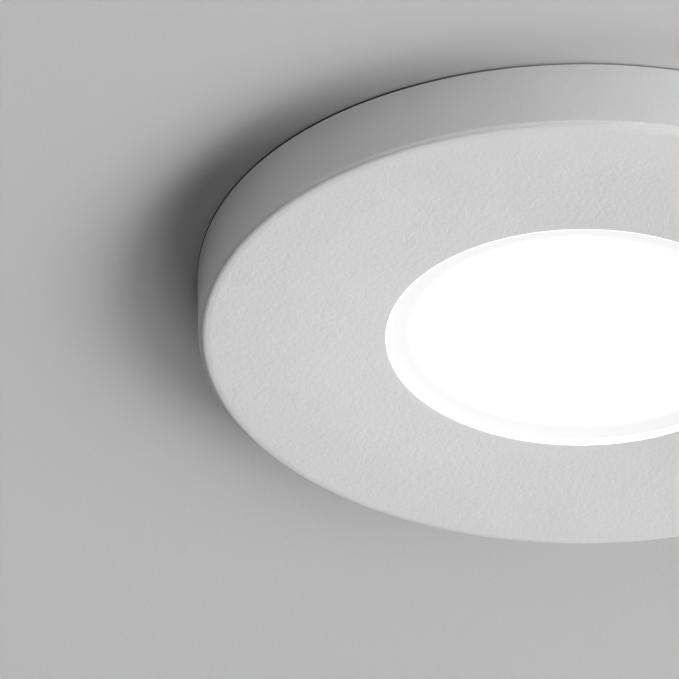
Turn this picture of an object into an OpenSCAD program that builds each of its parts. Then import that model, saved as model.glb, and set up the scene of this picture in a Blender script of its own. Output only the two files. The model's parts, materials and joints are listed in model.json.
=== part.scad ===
// Recessed ceiling light with a cast trim ring, a small opal window, two spring clips and its own driver.
// Millimetres. The ceiling's lower face is z = 0, +Z points up into the ceiling, and Z is the light's axis.

/* [Trim] */
// Width by which the trim ring laps over the edge of the hole in the ceiling
trim_lap = 7.5; // [6.5:0.25:9]
// Height from the ceiling to the front face
trim_drop = 8.65; // [7.8:0.05:11]
// Radius of the rounded front edge
edge_r = 1.7; // [0.8:0.1:2.1]
// Thickness of the front plate
face_t = 2.2; // [1.8:0.1:2.6]
// Thickness of the outer wall
rim_t = 2.5; // [2.2:0.1:3.4]
// Diameter of the light opening at the front face
opening_d = 46.24; // [42:0.02:47.5]
// How much wider the opening's wall is at the face than at the window, on the radius
opening_flare = 0.35; // [0.1:0.05:0.6]

/* [Ceiling seat] */
// Diameter of the hole cut in the ceiling
cutout_d = 75; // [72:0.5:84]
// Gap between the hole's edge and the collar
cutout_play = 1.5; // [0.75:0.25:2]
// Height of the collar above the ceiling's lower face
collar_h = 8; // [7:0.5:12]
// Thickness of the collar's wall
collar_t = 3.6; // [3.2:0.1:4.4]
// Gap that the squeezed gasket leaves between trim and ceiling
seat_gap = 0.25; // [0.15:0.05:0.6]
// Width of the ceiling gasket
gasket_w = 2.3; // [1.8:0.1:3]
// Depth of the groove that holds the ceiling gasket
gasket_groove = 3; // [2:0.1:3.6]

/* [Window and reflector] */
// Depth of the window below the front face
window_recess = 0.9; // [0.5:0.1:1.3]
// Thickness of the window and of the diffuser's flange
window_t = 1.5; // [1.2:0.1:2]
// Width of the flange that holds the diffuser
diffuser_flange = 2.4; // [1.8:0.1:2.6]
// Thickness of the diffuser's seal
seal_t = 0.8; // [0.6:0.1:1.2]
// Thickness of the reflector's wall
reflector_t = 0.8; // [0.6:0.1:1.2]

/* [LED board] */
// Diameter of the LED board
board_d = 48; // [46:0.5:50]
// Thickness of the LED board and the driver board
board_t = 1.6; // [1:0.1:2]
// Thickness of the thermal pad
pad_t = 0.4; // [0.3:0.1:1]
// Side of an LED chip
chip_w = 3; // [2:0.1:3.5]
// Height of an LED chip
chip_h = 0.7; // [0.5:0.1:1]
// Radius of the inner ring of chips
chip_ring_in = 7; // [6:0.5:9]
// Radius of the outer ring of chips
chip_ring_out = 13.5; // [12:0.5:14]

/* [Heat sink] */
// Thickness of the heat sink's base
sink_base_t = 4; // [3.5:0.5:6]
// Height of the fins above the base
fin_h = 22; // [20:1:30]
// Thickness of a fin
fin_t = 1.4; // [1:0.1:2]
// Number of fins
fin_count = 24; // [20:4:28]
// Diameter of the solid core that the fins stand on
core_d = 18; // [14:0.5:22]
// Diameter of the hole that the leads go through
lead_hole_d = 6.4; // [5.5:0.1:8]

/* [Spring clips] */
// Length of a clip arm from its pin to its end
arm_l = 34; // [28:0.5:40]
// Width of a clip arm
arm_w = 11; // [9:0.25:11.5]
// Thickness of the clip's arm
arm_t = 0.8; // [0.6:0.1:1]
// Slope of the arm at rest, down from level, in degrees
arm_slope = 18; // [12:1:19]
// Height of the clip's pin above the heat sink's base
pin_rise = 6.2; // [6:0.1:8]
// Diameter of the clip's pin
pin_d = 2.5; // [2:0.1:2.8]
// Diameter of the spring's wire
wire_d = 0.9; // [0.7:0.05:1]
// Full turns of the spring
spring_turns = 5; // [4:1:5]
// Thickness of the clip bracket's sheet
bracket_t = 1; // [0.8:0.1:1.2]
// Thickness of the soft sleeve on the arm's end
sleeve_t = 0.6; // [0.4:0.1:0.8]
// Length of the soft sleeve
sleeve_l = 14; // [10:0.5:15]

/* [Driver] */
// Outside diameter of the driver case
case_d = 60; // [59.5:0.25:62]
// Height of the driver case without its cover
case_h = 28; // [27:0.5:36]
// Thickness of the case's wall and floor
case_t = 1.8; // [1.4:0.1:2.2]
// Thickness of the cover and the lid
cover_t = 2; // [1.8:0.1:3]
// Thickness of the wall between the driver and the terminals
partition_t = 2.4; // [2:0.1:2.6]
// Gap between the heat sink's fins and the driver case
post_gap = 2; // [1:0.5:5]
// Diameter of the lid's hinge pin
lid_pin_d = 2; // [1.6:0.1:2.2]
// Diameter of the supply cable that the entry takes
cable_d = 7; // [6:0.1:7.4]
// Height of the cable's axis above the case's floor
cable_rise = 14; // [12:0.5:15]
// Number of terminals
terminal_count = 3; // [2:1:3]

/* [Fit] */
// Gap between parts that slide or turn past each other
run_gap = 0.3; // [0.2:0.05:0.35]
// Gap round a part that sits in its place
seat_fit = 0.1; // [0.05:0.05:0.15]
// Gap between a turning hole and its pin, on the radius
turn_fit = 0.06; // [0.02:0.01:0.09]
// Gap between a pin or screw and the hole that holds it, on the radius
hold_fit = 0.03; // [0.01:0.01:0.05]

/* [Hidden] */
$fn = 96;

// Radii of the trim and the collar
trim_r = cutout_d / 2 + trim_lap;
collar_r = cutout_d / 2 - cutout_play;
collar_in_r = collar_r - collar_t;
collar_foot = 0.6;
gasket_out_r = trim_r - rim_t;
gasket_in_r = gasket_out_r - gasket_w - 2 * seat_fit;
gasket_rib = 1.5;
back_rib_t = 1.2;
back_rib_drop = 1;
back_rib_count = 12;

// Heights in the trim, from the front face up
face_z = -trim_drop;
rim_top_z = -seat_gap;
plate_top_z = face_z + face_t;
window_z = face_z + window_recess;
groove_z = rim_top_z - gasket_groove;
flange_z = plate_top_z + seal_t;
reflector_z = flange_z + window_t;

// Radii at the window
opening_r = opening_d / 2;
throat_r = opening_r - opening_flare;
plug_r = throat_r - 2 * seat_fit;
plug_wall = 1.3;
plug_in_r = plug_r - plug_wall;
flange_r = opening_r + diffuser_flange;
seat_rib_t = 0.7;

// The stack on the heat sink's underside, from the base down
board_r = board_d / 2;
board_top_z = collar_h - pad_t;
board_z = board_top_z - board_t;
wire_hole_r = 2.6;
inner_chips = 5;
outer_chips = 11;
board_screw_count = 3;
board_screw_turn = 30;
reflector_top_r = chip_ring_out + chip_w / 2 + 1.4;
reflector_foot = 1;

// Screws: radius of the shank, radius and height of the head, and length under the head
small_r = 1.2;
small_head_r = 2.2;
small_head_h = 1.5;
large_r = 1.45;
large_head_r = 2.8;
large_head_h = 1.9;
clear_fit = 0.2;
hole_spare = 0.5;
board_screw_l = board_t + pad_t + 2.6;
bracket_screw_l = 6;
bezel_screw_l = sink_base_t + 6;
case_screw_l = 8;
cover_screw_l = 8;
pcb_screw_l = 6;
board_screw_r = board_r - small_head_r - 0.6;

// The bosses in the trim that take the bezel screws
boss_r = 3.2;
boss_ring_r = collar_in_r - boss_r + 0.6;
boss_turns = [90, 210, 330];
boss_hole_depth = bezel_screw_l - sink_base_t + 1;

// The seal ring in the collar's top
ring_w = 1.7;
ring_h = 1.1;
ring_r = collar_r - collar_t / 2;

// Heat sink
sink_z = collar_h;
base_top_z = sink_z + sink_base_t;
fin_top_z = base_top_z + fin_h;
sink_r = collar_r - 0.4;
fin_r = collar_r - 3;
fin_bite = 1;
driver_way_r = large_head_r + 0.8;
post_r = 3.4;
post_hole_depth = case_screw_l + 1;

// Spring clips: the pin's place and the parts that lie round it
clip_inset = 5.4;
pin_r = pin_d / 2;
pin_x = collar_r - clip_inset;
pin_z = base_top_z + pin_rise;
base_gap = 2.9;
mount_x = pin_x - base_gap - bracket_t;
lug_r = 2.4;
arm_drop = 3;
arm_start = -0.8;
arm_flange_l = 18;
arm_slant_x = 7;
ear_y = arm_w / 2 + run_gap;
ear_r = 3.4;
ear_gusset = 2.6;
bracket_half_w = ear_y + bracket_t;
bracket_top = 13.5;
bracket_screw_up = 10;
bracket_screw_y = 4;
stop_gap = 0.25;
stop_from = -2.2;
stop_to = 3.5;
stop_half_w = 4.6;
pad_top_z = pin_z + bracket_top;
pin_head_r = 2;
pin_head_h = 0.8;
pin_tail = 0.9;
pin_ring_r = 2.3;
pin_ring_t = 0.6;

// Spring: the coil lies along the pin, between a leg on the bracket and a leg on the arm
coil_gap = 0.35;
coil_r = pin_r + coil_gap + wire_d / 2;
turn_gap = 0.45;
coil_pitch = wire_d + turn_gap;
leg_touch = 0.05;
wall_leg_l = 7;
arm_leg_l = 12;
coil_sweep = 360 * spring_turns + 90 - arm_slope;
rings_per_turn = 8;
wire_sides = 6;
coil_steps = ceil(coil_sweep * rings_per_turn / 360);
coil_half = coil_pitch * coil_sweep / 720;

// Driver case
case_r = case_d / 2;
case_in_r = case_r - case_t;
case_z = fin_top_z + post_gap;
floor_z = case_z + case_t;
case_top_z = case_z + case_h;
cover_top_z = case_top_z + cover_t;
drawn_case_d = 60;
plan_ratio = case_d / drawn_case_d;
case_screw_at = plan_ratio * [[18.8, 6], [-18.8, 6], [0, -20]];
partition_y = -5 * plan_ratio;
partition_out_y = partition_y - partition_t;
cover_edge_r = 0.8;
cover_boss_r = 2.8;
cover_boss_ring = case_in_r - cover_boss_r + 0.2;
cover_boss_turns = [12, 90, 168];

// Driver board and what stands on it
pcb_r = case_r - 2.5;
pcb_gap = 0.4;
pcb_post_r = 2.4;
pcb_post_turns = [58, 122];
pcb_post_ring = pcb_r - 3;
pcb_z = floor_z + 5.2;
pcb_top_z = pcb_z + board_t;
can_step = 0.5;
fuse_at = plan_ratio * [8.2, -1.2];
fuse_size = plan_ratio * [8.4, 4.2, 7.5];
choke_at = plan_ratio * [-16.5, 13];
choke_r = 4 * plan_ratio;
choke_h = 8 * plan_ratio;
choke_flange_t = 1.4 * plan_ratio;
choke_winding_r = 3.3 * plan_ratio;
transformer_at = plan_ratio * [9.5, 11];
transformer_core = plan_ratio * [10, 14, 13];
transformer_winding = plan_ratio * [15, 9, 11.5];
input_can_at = plan_ratio * [-5.5, 14.5];
input_can_r = 5 * plan_ratio;
input_can_h = 16 * plan_ratio;
output_can_at = plan_ratio * [19.5, -0.4];
output_can_r = 4 * plan_ratio;
output_can_h = 13 * plan_ratio;
film_box_at = plan_ratio * [-14.5, 5];
film_box_size = plan_ratio * [13, 6, 11];
varistor_at = plan_ratio * [-3, 4.8];
varistor_r = 3.5 * plan_ratio;
varistor_t = 3.6 * plan_ratio;
varistor_up = 4.4 * plan_ratio;
varistor_foot = plan_ratio * [3.4, 1.2, 3];
chip_spots = plan_ratio * [[20.5, 11.5], [-20, -1.6]];
chip_sizes = plan_ratio * [[5, 4, 1.5], [4.8, 4, 1.6]];

// Hinge of the terminal lid
lid_pin_r = lid_pin_d / 2;
knuckle_r = lid_pin_r + 0.9;
hinge_y = partition_out_y - knuckle_r + 0.7;
hinge_z = case_top_z + knuckle_r + run_gap;
case_knuckles = [14, 20];
lid_knuckle_half = case_knuckles[0] - run_gap;
gusset_h = 4;
gusset_step = 0.5;
lid_gap = 0.25;
lid_z = case_top_z + lid_gap;
lid_edge_y = hinge_y - knuckle_r - run_gap;
lid_lip_h = 1.15;
lid_lip_t = 1.2;
lid_lip_gap = 0.5;
lid_tab_w = 10;
lid_tab_t = 1.2;
lid_tab_h = 6;
lid_tab_gap = 0.25;

// Cable entry, clamp and terminals
cable_r = cable_d / 2;
cable_x = 13 * plan_ratio;
cable_z = floor_z + cable_rise;
grommet_wall = 1.05;
grommet_lip = 0.9;
grommet_lip_t = 1.2;
entry_r = cable_r + grommet_wall;
entry_wall = 1.05;
grommet_lip_r = entry_r + grommet_lip;
entry_out_y = -sqrt(pow(case_r, 2) - pow(cable_x - grommet_lip_r, 2)) - run_gap / 2;
entry_in_y = -sqrt(pow(case_in_r, 2) - pow(cable_x + grommet_lip_r, 2)) + run_gap;
entry_l = entry_in_y - entry_out_y;
clamp_y = -14.5 * plan_ratio;
clamp_w = 5;
clamp_t = 2;
clamp_z = cable_z + cable_r;
clamp_post_r = 2.5;
clamp_post_x = cable_r + clamp_post_r + 0.4;
saddle_w = 6;
block_back_y = partition_out_y - 1;
block_depth = 10 * plan_ratio;
block_h = 13;
block_z = floor_z + 6;
block_right_x = 3 * plan_ratio;
terminal_pitch = 7.5 * plan_ratio;
block_w = terminal_pitch * terminal_count;
block_left_x = block_right_x - block_w;
block_front_y = block_back_y - block_depth;
block_foot_t = 2;
block_foot_in = 1;
terminal_r = 1.8;
terminal_deep = 1.2;
terminal_screw_l = 4;
terminal_screw_y = block_back_y - 6 * plan_ratio;
terminal_slot_w = 0.6;
terminal_slot_deep = 0.8;
wire_entry_r = 1.7;
wire_entry_l = 7 * plan_ratio;
wire_entry_up = 4;
lead_r = 0.8;
led_lead_r = 0.7;
led_lead_x = 1.1;
lead_bend = 1.6;
lead_tail = 1.4;
supply_y = -1 * plan_ratio;
supply_lead_in = plan_ratio * [6, 14];
supply_z = pcb_top_z + 2.9;
grommet_r = 4;

// Points along the spring's wire, from the leg on the bracket to the leg on the arm, about the pin's axis
wall_leg = [for (s = [1, 0.66, 0.33])
    [-coil_r - (base_gap - wire_d / 2 - leg_touch - coil_r) * s, -coil_half, wall_leg_l * s]];
coil = [for (i = [0 : coil_steps])
    let (a = 180 + coil_sweep * i / coil_steps)
    [coil_r * cos(a), -coil_half + 2 * coil_half * i / coil_steps, coil_r * sin(a)]];
arm_leg = [for (s = [0.33, 0.66, 1])
    let (u = arm_leg_l * s, v = -coil_r - (arm_drop - wire_d / 2 - leg_touch - coil_r) * s)
    [u * cos(arm_slope) + v * sin(arm_slope), coil_half, v * cos(arm_slope) - u * sin(arm_slope)]];
spring_path = concat(wall_leg, coil, arm_leg);
half_turn = rings_per_turn / 2;
spring_self_gap = min([for (i = [0 : len(spring_path) - 1])
    for (j = [i + half_turn : 1 : len(spring_path) - 1])
        norm(spring_path[i] - spring_path[j])]) - wire_d;
echo(spring_least_gap_to_itself = spring_self_gap);

// Unit vector along v
function unit(v) = v / norm(v);

// Direction of a path at point i
function heading(path, i) = unit(path[min(i + 1, len(path) - 1)] - path[max(i - 1, 0)]);

// Ring of points round point i of a path that never runs along Y
function wire_ring(path, i, r, sides) =
    let (t = heading(path, i), side = unit(cross(t, [0, 1, 0])), up = cross(side, t))
    [for (k = [0 : sides - 1]) path[i] + r * (cos(360 * k / sides) * side + sin(360 * k / sides) * up)];

// Tube of triangles along a path
module wire(path, r, sides) {
    last = len(path) - 1;
    points = [for (i = [0 : last]) each wire_ring(path, i, r, sides)];
    skin = [for (i = [0 : last - 1]) for (k = [0 : sides - 1])
        let (n = (k + 1) % sides, a = i * sides + k, b = i * sides + n, c = a + sides, d = b + sides)
        each [[a, b, d], [a, d, c]]];
    first_cap = [for (k = [1 : sides - 2]) [0, k + 1, k]];
    last_cap = [for (k = [1 : sides - 2]) [last * sides, last * sides + k, last * sides + k + 1]];
    polyhedron(points, concat(skin, first_cap, last_cap));
}

// Ring between two radii and two heights
module ring(outer, inner, low, high) {
    translate([0, 0, low])
        linear_extrude(high - low)
            difference() {
                circle(outer);
                circle(inner);
            }
}

// Disc between two heights
module disc(r, low, high) {
    translate([0, 0, low])
        cylinder(r = r, h = high - low);
}

// Block between two corners
module block(low, high) {
    translate(low)
        cube(high - low);
}

// Children at a radius and an angle
module polar(r, turn) {
    rotate(turn)
        translate([r, 0, 0])
            children();
}

// Children on the right, and mirrored on the left
module both_sides() {
    children();
    mirror([1, 0, 0])
        children();
}

// Children on the chosen side
module on_side(left) {
    mirror([left ? 1 : 0, 0, 0])
        translate([pin_x, 0, pin_z])
            children();
}

// Children tilted as the arm lies at rest
module as_arm() {
    rotate([0, arm_slope, 0])
        children();
}

// Outline in the X-Z plane made solid between two places along Y
module across(low, high) {
    translate([0, high, 0])
        rotate([90, 0, 0])
            linear_extrude(high - low)
                children();
}

// Outline in the Y-Z plane made solid between two places along X
module along_x(low, high) {
    translate([low, 0, 0])
        rotate([90, 0, 90])
            linear_extrude(high - low)
                children();
}

// Screw with a round head and a cross recess. The head sits on z = 0 and the shank points down.
module screw(shank_r, head_r, head_h, l) {
    recess_w = head_r * 0.3;
    recess_l = head_r * 1.15;
    recess_deep = head_h * 0.6;
    crown_r = head_h * 0.45;
    translate([0, 0, -l])
        cylinder(r = shank_r, h = l);
    difference() {
        rotate_extrude() {
            square([head_r, head_h - crown_r]);
            square([head_r - crown_r, head_h]);
            translate([head_r - crown_r, head_h - crown_r])
                intersection() {
                    circle(crown_r);
                    square(crown_r);
                }
        }
        for (turn = [0, 90])
            rotate(turn)
                translate([-recess_l / 2, -recess_w / 2, head_h - recess_deep])
                    cube([recess_l, recess_w, head_h]);
    }
}

module small_screw(l) {
    screw(small_r, small_head_r, small_head_h, l);
}

module large_screw(l) {
    screw(large_r, large_head_r, large_head_h, l);
}

// Half section of the trim ring: front plate, rounded edge, outer wall, gasket groove and collar
module bezel_section() {
    edge_x = trim_r - edge_r;
    edge_z = face_z + edge_r;
    translate([throat_r, face_z])
        square([edge_x - throat_r, face_t]);
    translate([edge_x, edge_z])
        intersection() {
            circle(edge_r);
            translate([0, -edge_r])
                square(edge_r);
        }
    translate([gasket_out_r, edge_z])
        square([rim_t, rim_top_z - edge_z]);
    translate([gasket_in_r - gasket_rib, plate_top_z])
        square([gasket_out_r - gasket_in_r + gasket_rib, groove_z - plate_top_z]);
    translate([gasket_in_r - gasket_rib, groove_z])
        square([gasket_rib, rim_top_z - groove_z]);
    translate([collar_in_r, plate_top_z])
        square([collar_t, collar_h - plate_top_z]);
    translate([collar_r, plate_top_z])
        square([collar_foot, rim_top_z - plate_top_z]);
    translate([flange_r + seat_fit, plate_top_z])
        square([seat_rib_t, reflector_z - plate_top_z]);
}

// Ribs between the collar's foot and the gasket's groove
module back_ribs() {
    for (i = [0 : back_rib_count - 1])
        rotate(360 * (i + 0.5) / back_rib_count)
            block([collar_r, -back_rib_t / 2, plate_top_z],
                [gasket_in_r - gasket_rib / 2, back_rib_t / 2, rim_top_z - back_rib_drop]);
}

module bezel() {
    color([0.81, 0.81, 0.8])
        difference() {
            union() {
                rotate_extrude()
                    bezel_section();
                for (turn = boss_turns)
                    polar(boss_ring_r, turn)
                        disc(boss_r, plate_top_z, collar_h);
                back_ribs();
            }
            for (turn = boss_turns)
                polar(boss_ring_r, turn)
                    disc(large_r + hold_fit, collar_h - boss_hole_depth, collar_h + 1);
            ring(ring_r + ring_w / 2 + hold_fit, ring_r - ring_w / 2 - hold_fit,
                collar_h - ring_h, collar_h + 1);
            disc(flange_r + seat_fit, plate_top_z, reflector_z + 1);
            translate([0, 0, face_z])
                cylinder(r1 = opening_r, r2 = throat_r, h = window_recess);
        }
}

module ceiling_gasket() {
    color([0.05, 0.05, 0.05])
        ring(gasket_out_r - seat_fit, gasket_in_r + seat_fit, groove_z, 0);
}

module diffuser_seal() {
    color([0.75, 0.75, 0.75])
        ring(flange_r, throat_r + seat_fit, plate_top_z, flange_z);
}

module diffuser() {
    color([1, 1, 0.97]) {
        disc(plug_r, window_z, window_z + window_t);
        ring(plug_r, plug_in_r, window_z, reflector_z);
        ring(flange_r, plug_in_r, flange_z, reflector_z);
    }
}

module reflector() {
    foot_top = reflector_z + reflector_foot;
    wall_h = board_z - reflector_z;
    color([0.95, 0.95, 0.94])
        difference() {
            union() {
                disc(flange_r, reflector_z, foot_top);
                translate([0, 0, reflector_z])
                    cylinder(r1 = plug_in_r + reflector_t, r2 = reflector_top_r + reflector_t, h = wall_h);
            }
            translate([0, 0, reflector_z])
                cylinder(r1 = plug_in_r, r2 = reflector_top_r, h = wall_h);
        }
}

// Cylinders at the places of the board screws
module board_screw_holes(r, low, high) {
    for (i = [0 : board_screw_count - 1])
        polar(board_screw_r, board_screw_turn + 360 * i / board_screw_count)
            disc(r, low, high);
}

module led_board() {
    color([0.93, 0.93, 0.9])
        difference() {
            disc(board_r, board_z, board_top_z);
            disc(wire_hole_r, board_z - 1, board_top_z + 1);
            board_screw_holes(small_r + clear_fit, board_z - 1, board_top_z + 1);
        }
}

// One ring of LED chips under the board
module chip_ring(count, r) {
    for (i = [0 : count - 1])
        polar(r, 360 * i / count)
            block([-chip_w / 2, -chip_w / 2, board_z - chip_h], [chip_w / 2, chip_w / 2, board_z]);
}

module led_chips() {
    color([0.95, 0.85, 0.3]) {
        chip_ring(inner_chips, chip_ring_in);
        chip_ring(outer_chips, chip_ring_out);
    }
}

module board_screws() {
    color([0.7, 0.7, 0.72])
        for (i = [0 : board_screw_count - 1])
            polar(board_screw_r, board_screw_turn + 360 * i / board_screw_count)
                translate([0, 0, board_z])
                    rotate([180, 0, 0])
                        small_screw(board_screw_l);
}

module thermal_pad() {
    color([0.55, 0.6, 0.65])
        difference() {
            disc(board_r, board_top_z, sink_z);
            disc(wire_hole_r, board_top_z - 1, sink_z + 1);
            board_screw_holes(small_r + clear_fit, board_top_z - 1, sink_z + 1);
        }
}

// Fins, core, posts and clip pads of the heat sink, rooted in its base and cut clear of the clips and screws
module sink_body() {
    root_z = base_top_z - fin_bite;
    core_r = core_d / 2;
    bay_half_w = max(bracket_half_w + pin_tail + run_gap, fin_r * sin(360 / fin_count) + fin_t);
    difference() {
        union() {
            for (i = [0 : fin_count - 1])
                rotate(360 * i / fin_count)
                    block([core_r - fin_bite, -fin_t / 2, root_z], [fin_r, fin_t / 2, fin_top_z]);
            disc(core_r, root_z, fin_top_z);
            for (at = case_screw_at)
                translate([at.x, at.y, 0])
                    disc(post_r, root_z, case_z);
            both_sides()
                block([core_r - fin_bite, -bracket_half_w, root_z],
                    [mount_x + fin_bite, bracket_half_w, pad_top_z]);
        }
        both_sides()
            block([mount_x, -bay_half_w, sink_z], [collar_r, bay_half_w, fin_top_z + 1]);
        for (turn = boss_turns)
            polar(boss_ring_r, turn)
                disc(driver_way_r, sink_z, fin_top_z + 1);
    }
}

module heat_sink() {
    color([0.72, 0.73, 0.74])
        difference() {
            union() {
                disc(sink_r, sink_z, base_top_z);
                sink_body();
            }
            disc(lead_hole_d / 2, sink_z - 1, fin_top_z + 1);
            for (turn = boss_turns)
                polar(boss_ring_r, turn)
                    disc(large_r + clear_fit, sink_z - 1, base_top_z + 1);
            board_screw_holes(small_r + hold_fit, sink_z - 1, board_z + board_screw_l + hole_spare);
            for (at = case_screw_at)
                translate([at.x, at.y, 0])
                    disc(large_r + hold_fit, case_z - post_hole_depth, case_z + 1);
            both_sides()
                for (y = [-bracket_screw_y, bracket_screw_y])
                    translate([mount_x - bracket_screw_l, y, pin_z + bracket_screw_up])
                        rotate([0, 90, 0])
                            cylinder(r = small_r + hold_fit, h = bracket_screw_l + 1);
        }
}

module collar_seal() {
    half = (ring_w - ring_h) / 2;
    color([0.08, 0.08, 0.08])
        translate([0, 0, collar_h - ring_h])
            rotate_extrude() {
                translate([ring_r - half, 0])
                    square([2 * half, ring_h]);
                for (x = [ring_r - half, ring_r + half])
                    translate([x, ring_h / 2])
                        circle(d = ring_h);
            }
}

module bezel_screws() {
    color([0.7, 0.7, 0.72])
        for (turn = boss_turns)
            polar(boss_ring_r, turn)
                translate([0, 0, base_top_z])
                    large_screw(bezel_screw_l);
}

// Outline of a bracket's ear, with its foot on the bracket's back
module ear_outline() {
    back = -base_gap - bracket_t;
    circle(ear_r);
    polygon([[back, -ear_r - 1], [0, -ear_r], [0, ear_r], [back, ear_r + ear_gusset]]);
}

module clip_bracket(left) {
    back = -base_gap - bracket_t;
    stop_top = -arm_drop - arm_t - stop_gap;
    color([0.68, 0.69, 0.7])
        on_side(left)
            difference() {
                union() {
                    block([back, -bracket_half_w, run_gap - pin_rise],
                        [-base_gap, bracket_half_w, bracket_top]);
                    across(ear_y, bracket_half_w)
                        ear_outline();
                    across(-bracket_half_w, -ear_y)
                        ear_outline();
                    as_arm()
                        block([stop_from, -stop_half_w, stop_top - bracket_t],
                            [stop_to, stop_half_w, stop_top]);
                }
                across(-bracket_half_w - 1, bracket_half_w + 1)
                    circle(pin_r + hold_fit);
                for (y = [-bracket_screw_y, bracket_screw_y])
                    translate([back - 1, y, bracket_screw_up])
                        rotate([0, 90, 0])
                            cylinder(r = small_r + clear_fit, h = bracket_t + 2);
            }
}

module clip_pin(left) {
    color([0.75, 0.76, 0.78])
        on_side(left) {
            across(-bracket_half_w, bracket_half_w + pin_tail)
                circle(pin_r);
            across(-bracket_half_w - pin_head_h, -bracket_half_w)
                circle(pin_head_r);
        }
}

module pin_rings() {
    color([0.35, 0.35, 0.36])
        for (left = [false, true])
            on_side(left)
                across(bracket_half_w, bracket_half_w + pin_ring_t)
                    difference() {
                        circle(pin_ring_r);
                        circle(pin_r + hold_fit);
                    }
}

module clip_spring(left) {
    color([0.6, 0.6, 0.62])
        on_side(left)
            wire(spring_path, wire_d / 2, wire_sides);
}

// Outline of the arm's plate seen along its thickness, wider by grow all round
module arm_plan(from, grow) {
    end_r = arm_w / 2;
    translate([from, -end_r - grow])
        square([arm_l - end_r - from, arm_w + 2 * grow]);
    translate([arm_l - end_r, 0])
        circle(end_r + grow);
}

// Outline of the arm's side, from the lug round the pin to the end of the flange
module arm_side() {
    low = -arm_drop - arm_t;
    circle(lug_r);
    polygon([[-lug_r * cos(30), -lug_r * sin(30)], [arm_start, low], [arm_flange_l, low],
        [arm_flange_l, -arm_drop], [arm_slant_x, -lug_r / 2], [lug_r * cos(60), lug_r * sin(60)]]);
}

module clip_arm(left) {
    color([0.75, 0.76, 0.78])
        on_side(left)
            as_arm()
                difference() {
                    union() {
                        translate([0, 0, -arm_drop - arm_t])
                            linear_extrude(arm_t)
                                arm_plan(arm_start, 0);
                        across(arm_w / 2 - arm_t, arm_w / 2)
                            arm_side();
                        across(-arm_w / 2, arm_t - arm_w / 2)
                            arm_side();
                    }
                    across(-arm_w, arm_w)
                        circle(pin_r + turn_fit);
                }
}

module clip_sleeve(left) {
    from = arm_l - sleeve_l;
    color([0.85, 0.85, 0.84])
        on_side(left)
            as_arm()
                difference() {
                    translate([0, 0, -arm_drop - arm_t - sleeve_t])
                        linear_extrude(arm_t + 2 * sleeve_t)
                            arm_plan(from, sleeve_t);
                    translate([0, 0, -arm_drop - arm_t - hold_fit])
                        linear_extrude(arm_t + 2 * hold_fit)
                            arm_plan(from - 1, hold_fit);
                }
}

module bracket_screws() {
    color([0.7, 0.7, 0.72])
        for (left = [false, true])
            on_side(left)
                for (y = [-bracket_screw_y, bracket_screw_y])
                    translate([-base_gap, y, bracket_screw_up])
                        rotate([0, 90, 0])
                            small_screw(bracket_screw_l);
}

// Half section of a round cover with a rounded top edge
module cover_section(low, high) {
    square_h = high - low;
    translate([0, low]) {
        square([case_r, square_h - cover_edge_r]);
        square([case_r - cover_edge_r, square_h]);
        translate([case_r - cover_edge_r, square_h - cover_edge_r])
            intersection() {
                circle(cover_edge_r);
                square(cover_edge_r);
            }
    }
}

// Outline of a hinge knuckle on the case, with its foot on the partition
module case_knuckle_outline() {
    foot_z = case_top_z - gusset_h;
    translate([hinge_y, hinge_z])
        circle(knuckle_r);
    polygon([[hinge_y - knuckle_r, hinge_z], [hinge_y - knuckle_r, case_top_z - gusset_step],
        [partition_out_y, foot_z], [partition_y, foot_z], [partition_y, case_top_z],
        [hinge_y + knuckle_r, case_top_z], [hinge_y + knuckle_r, hinge_z]]);
}

// Solid pieces inside the driver case: partition, posts, bosses, feet and the saddle under the cable
module case_inside() {
    block([-case_r, partition_out_y, case_z], [case_r, partition_y, case_top_z]);
    for (turn = cover_boss_turns)
        polar(cover_boss_ring, turn)
            disc(cover_boss_r, case_z, case_top_z);
    for (turn = pcb_post_turns)
        polar(pcb_post_ring, turn)
            disc(pcb_post_r, case_z, pcb_z);
    for (x = [cable_x - clamp_post_x, cable_x + clamp_post_x])
        translate([x, clamp_y, 0])
            disc(clamp_post_r, case_z, clamp_z);
    block([cable_x - saddle_w / 2, clamp_y - clamp_w / 2, case_z],
        [cable_x + saddle_w / 2, clamp_y + clamp_w / 2, cable_z - cable_r - seat_fit]);
    for (x = [block_left_x + block_foot_in, block_right_x - block_foot_in - block_foot_t])
        block([x, block_front_y + block_foot_t, case_z],
            [x + block_foot_t, block_back_y - block_foot_in, block_z]);
}

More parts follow.
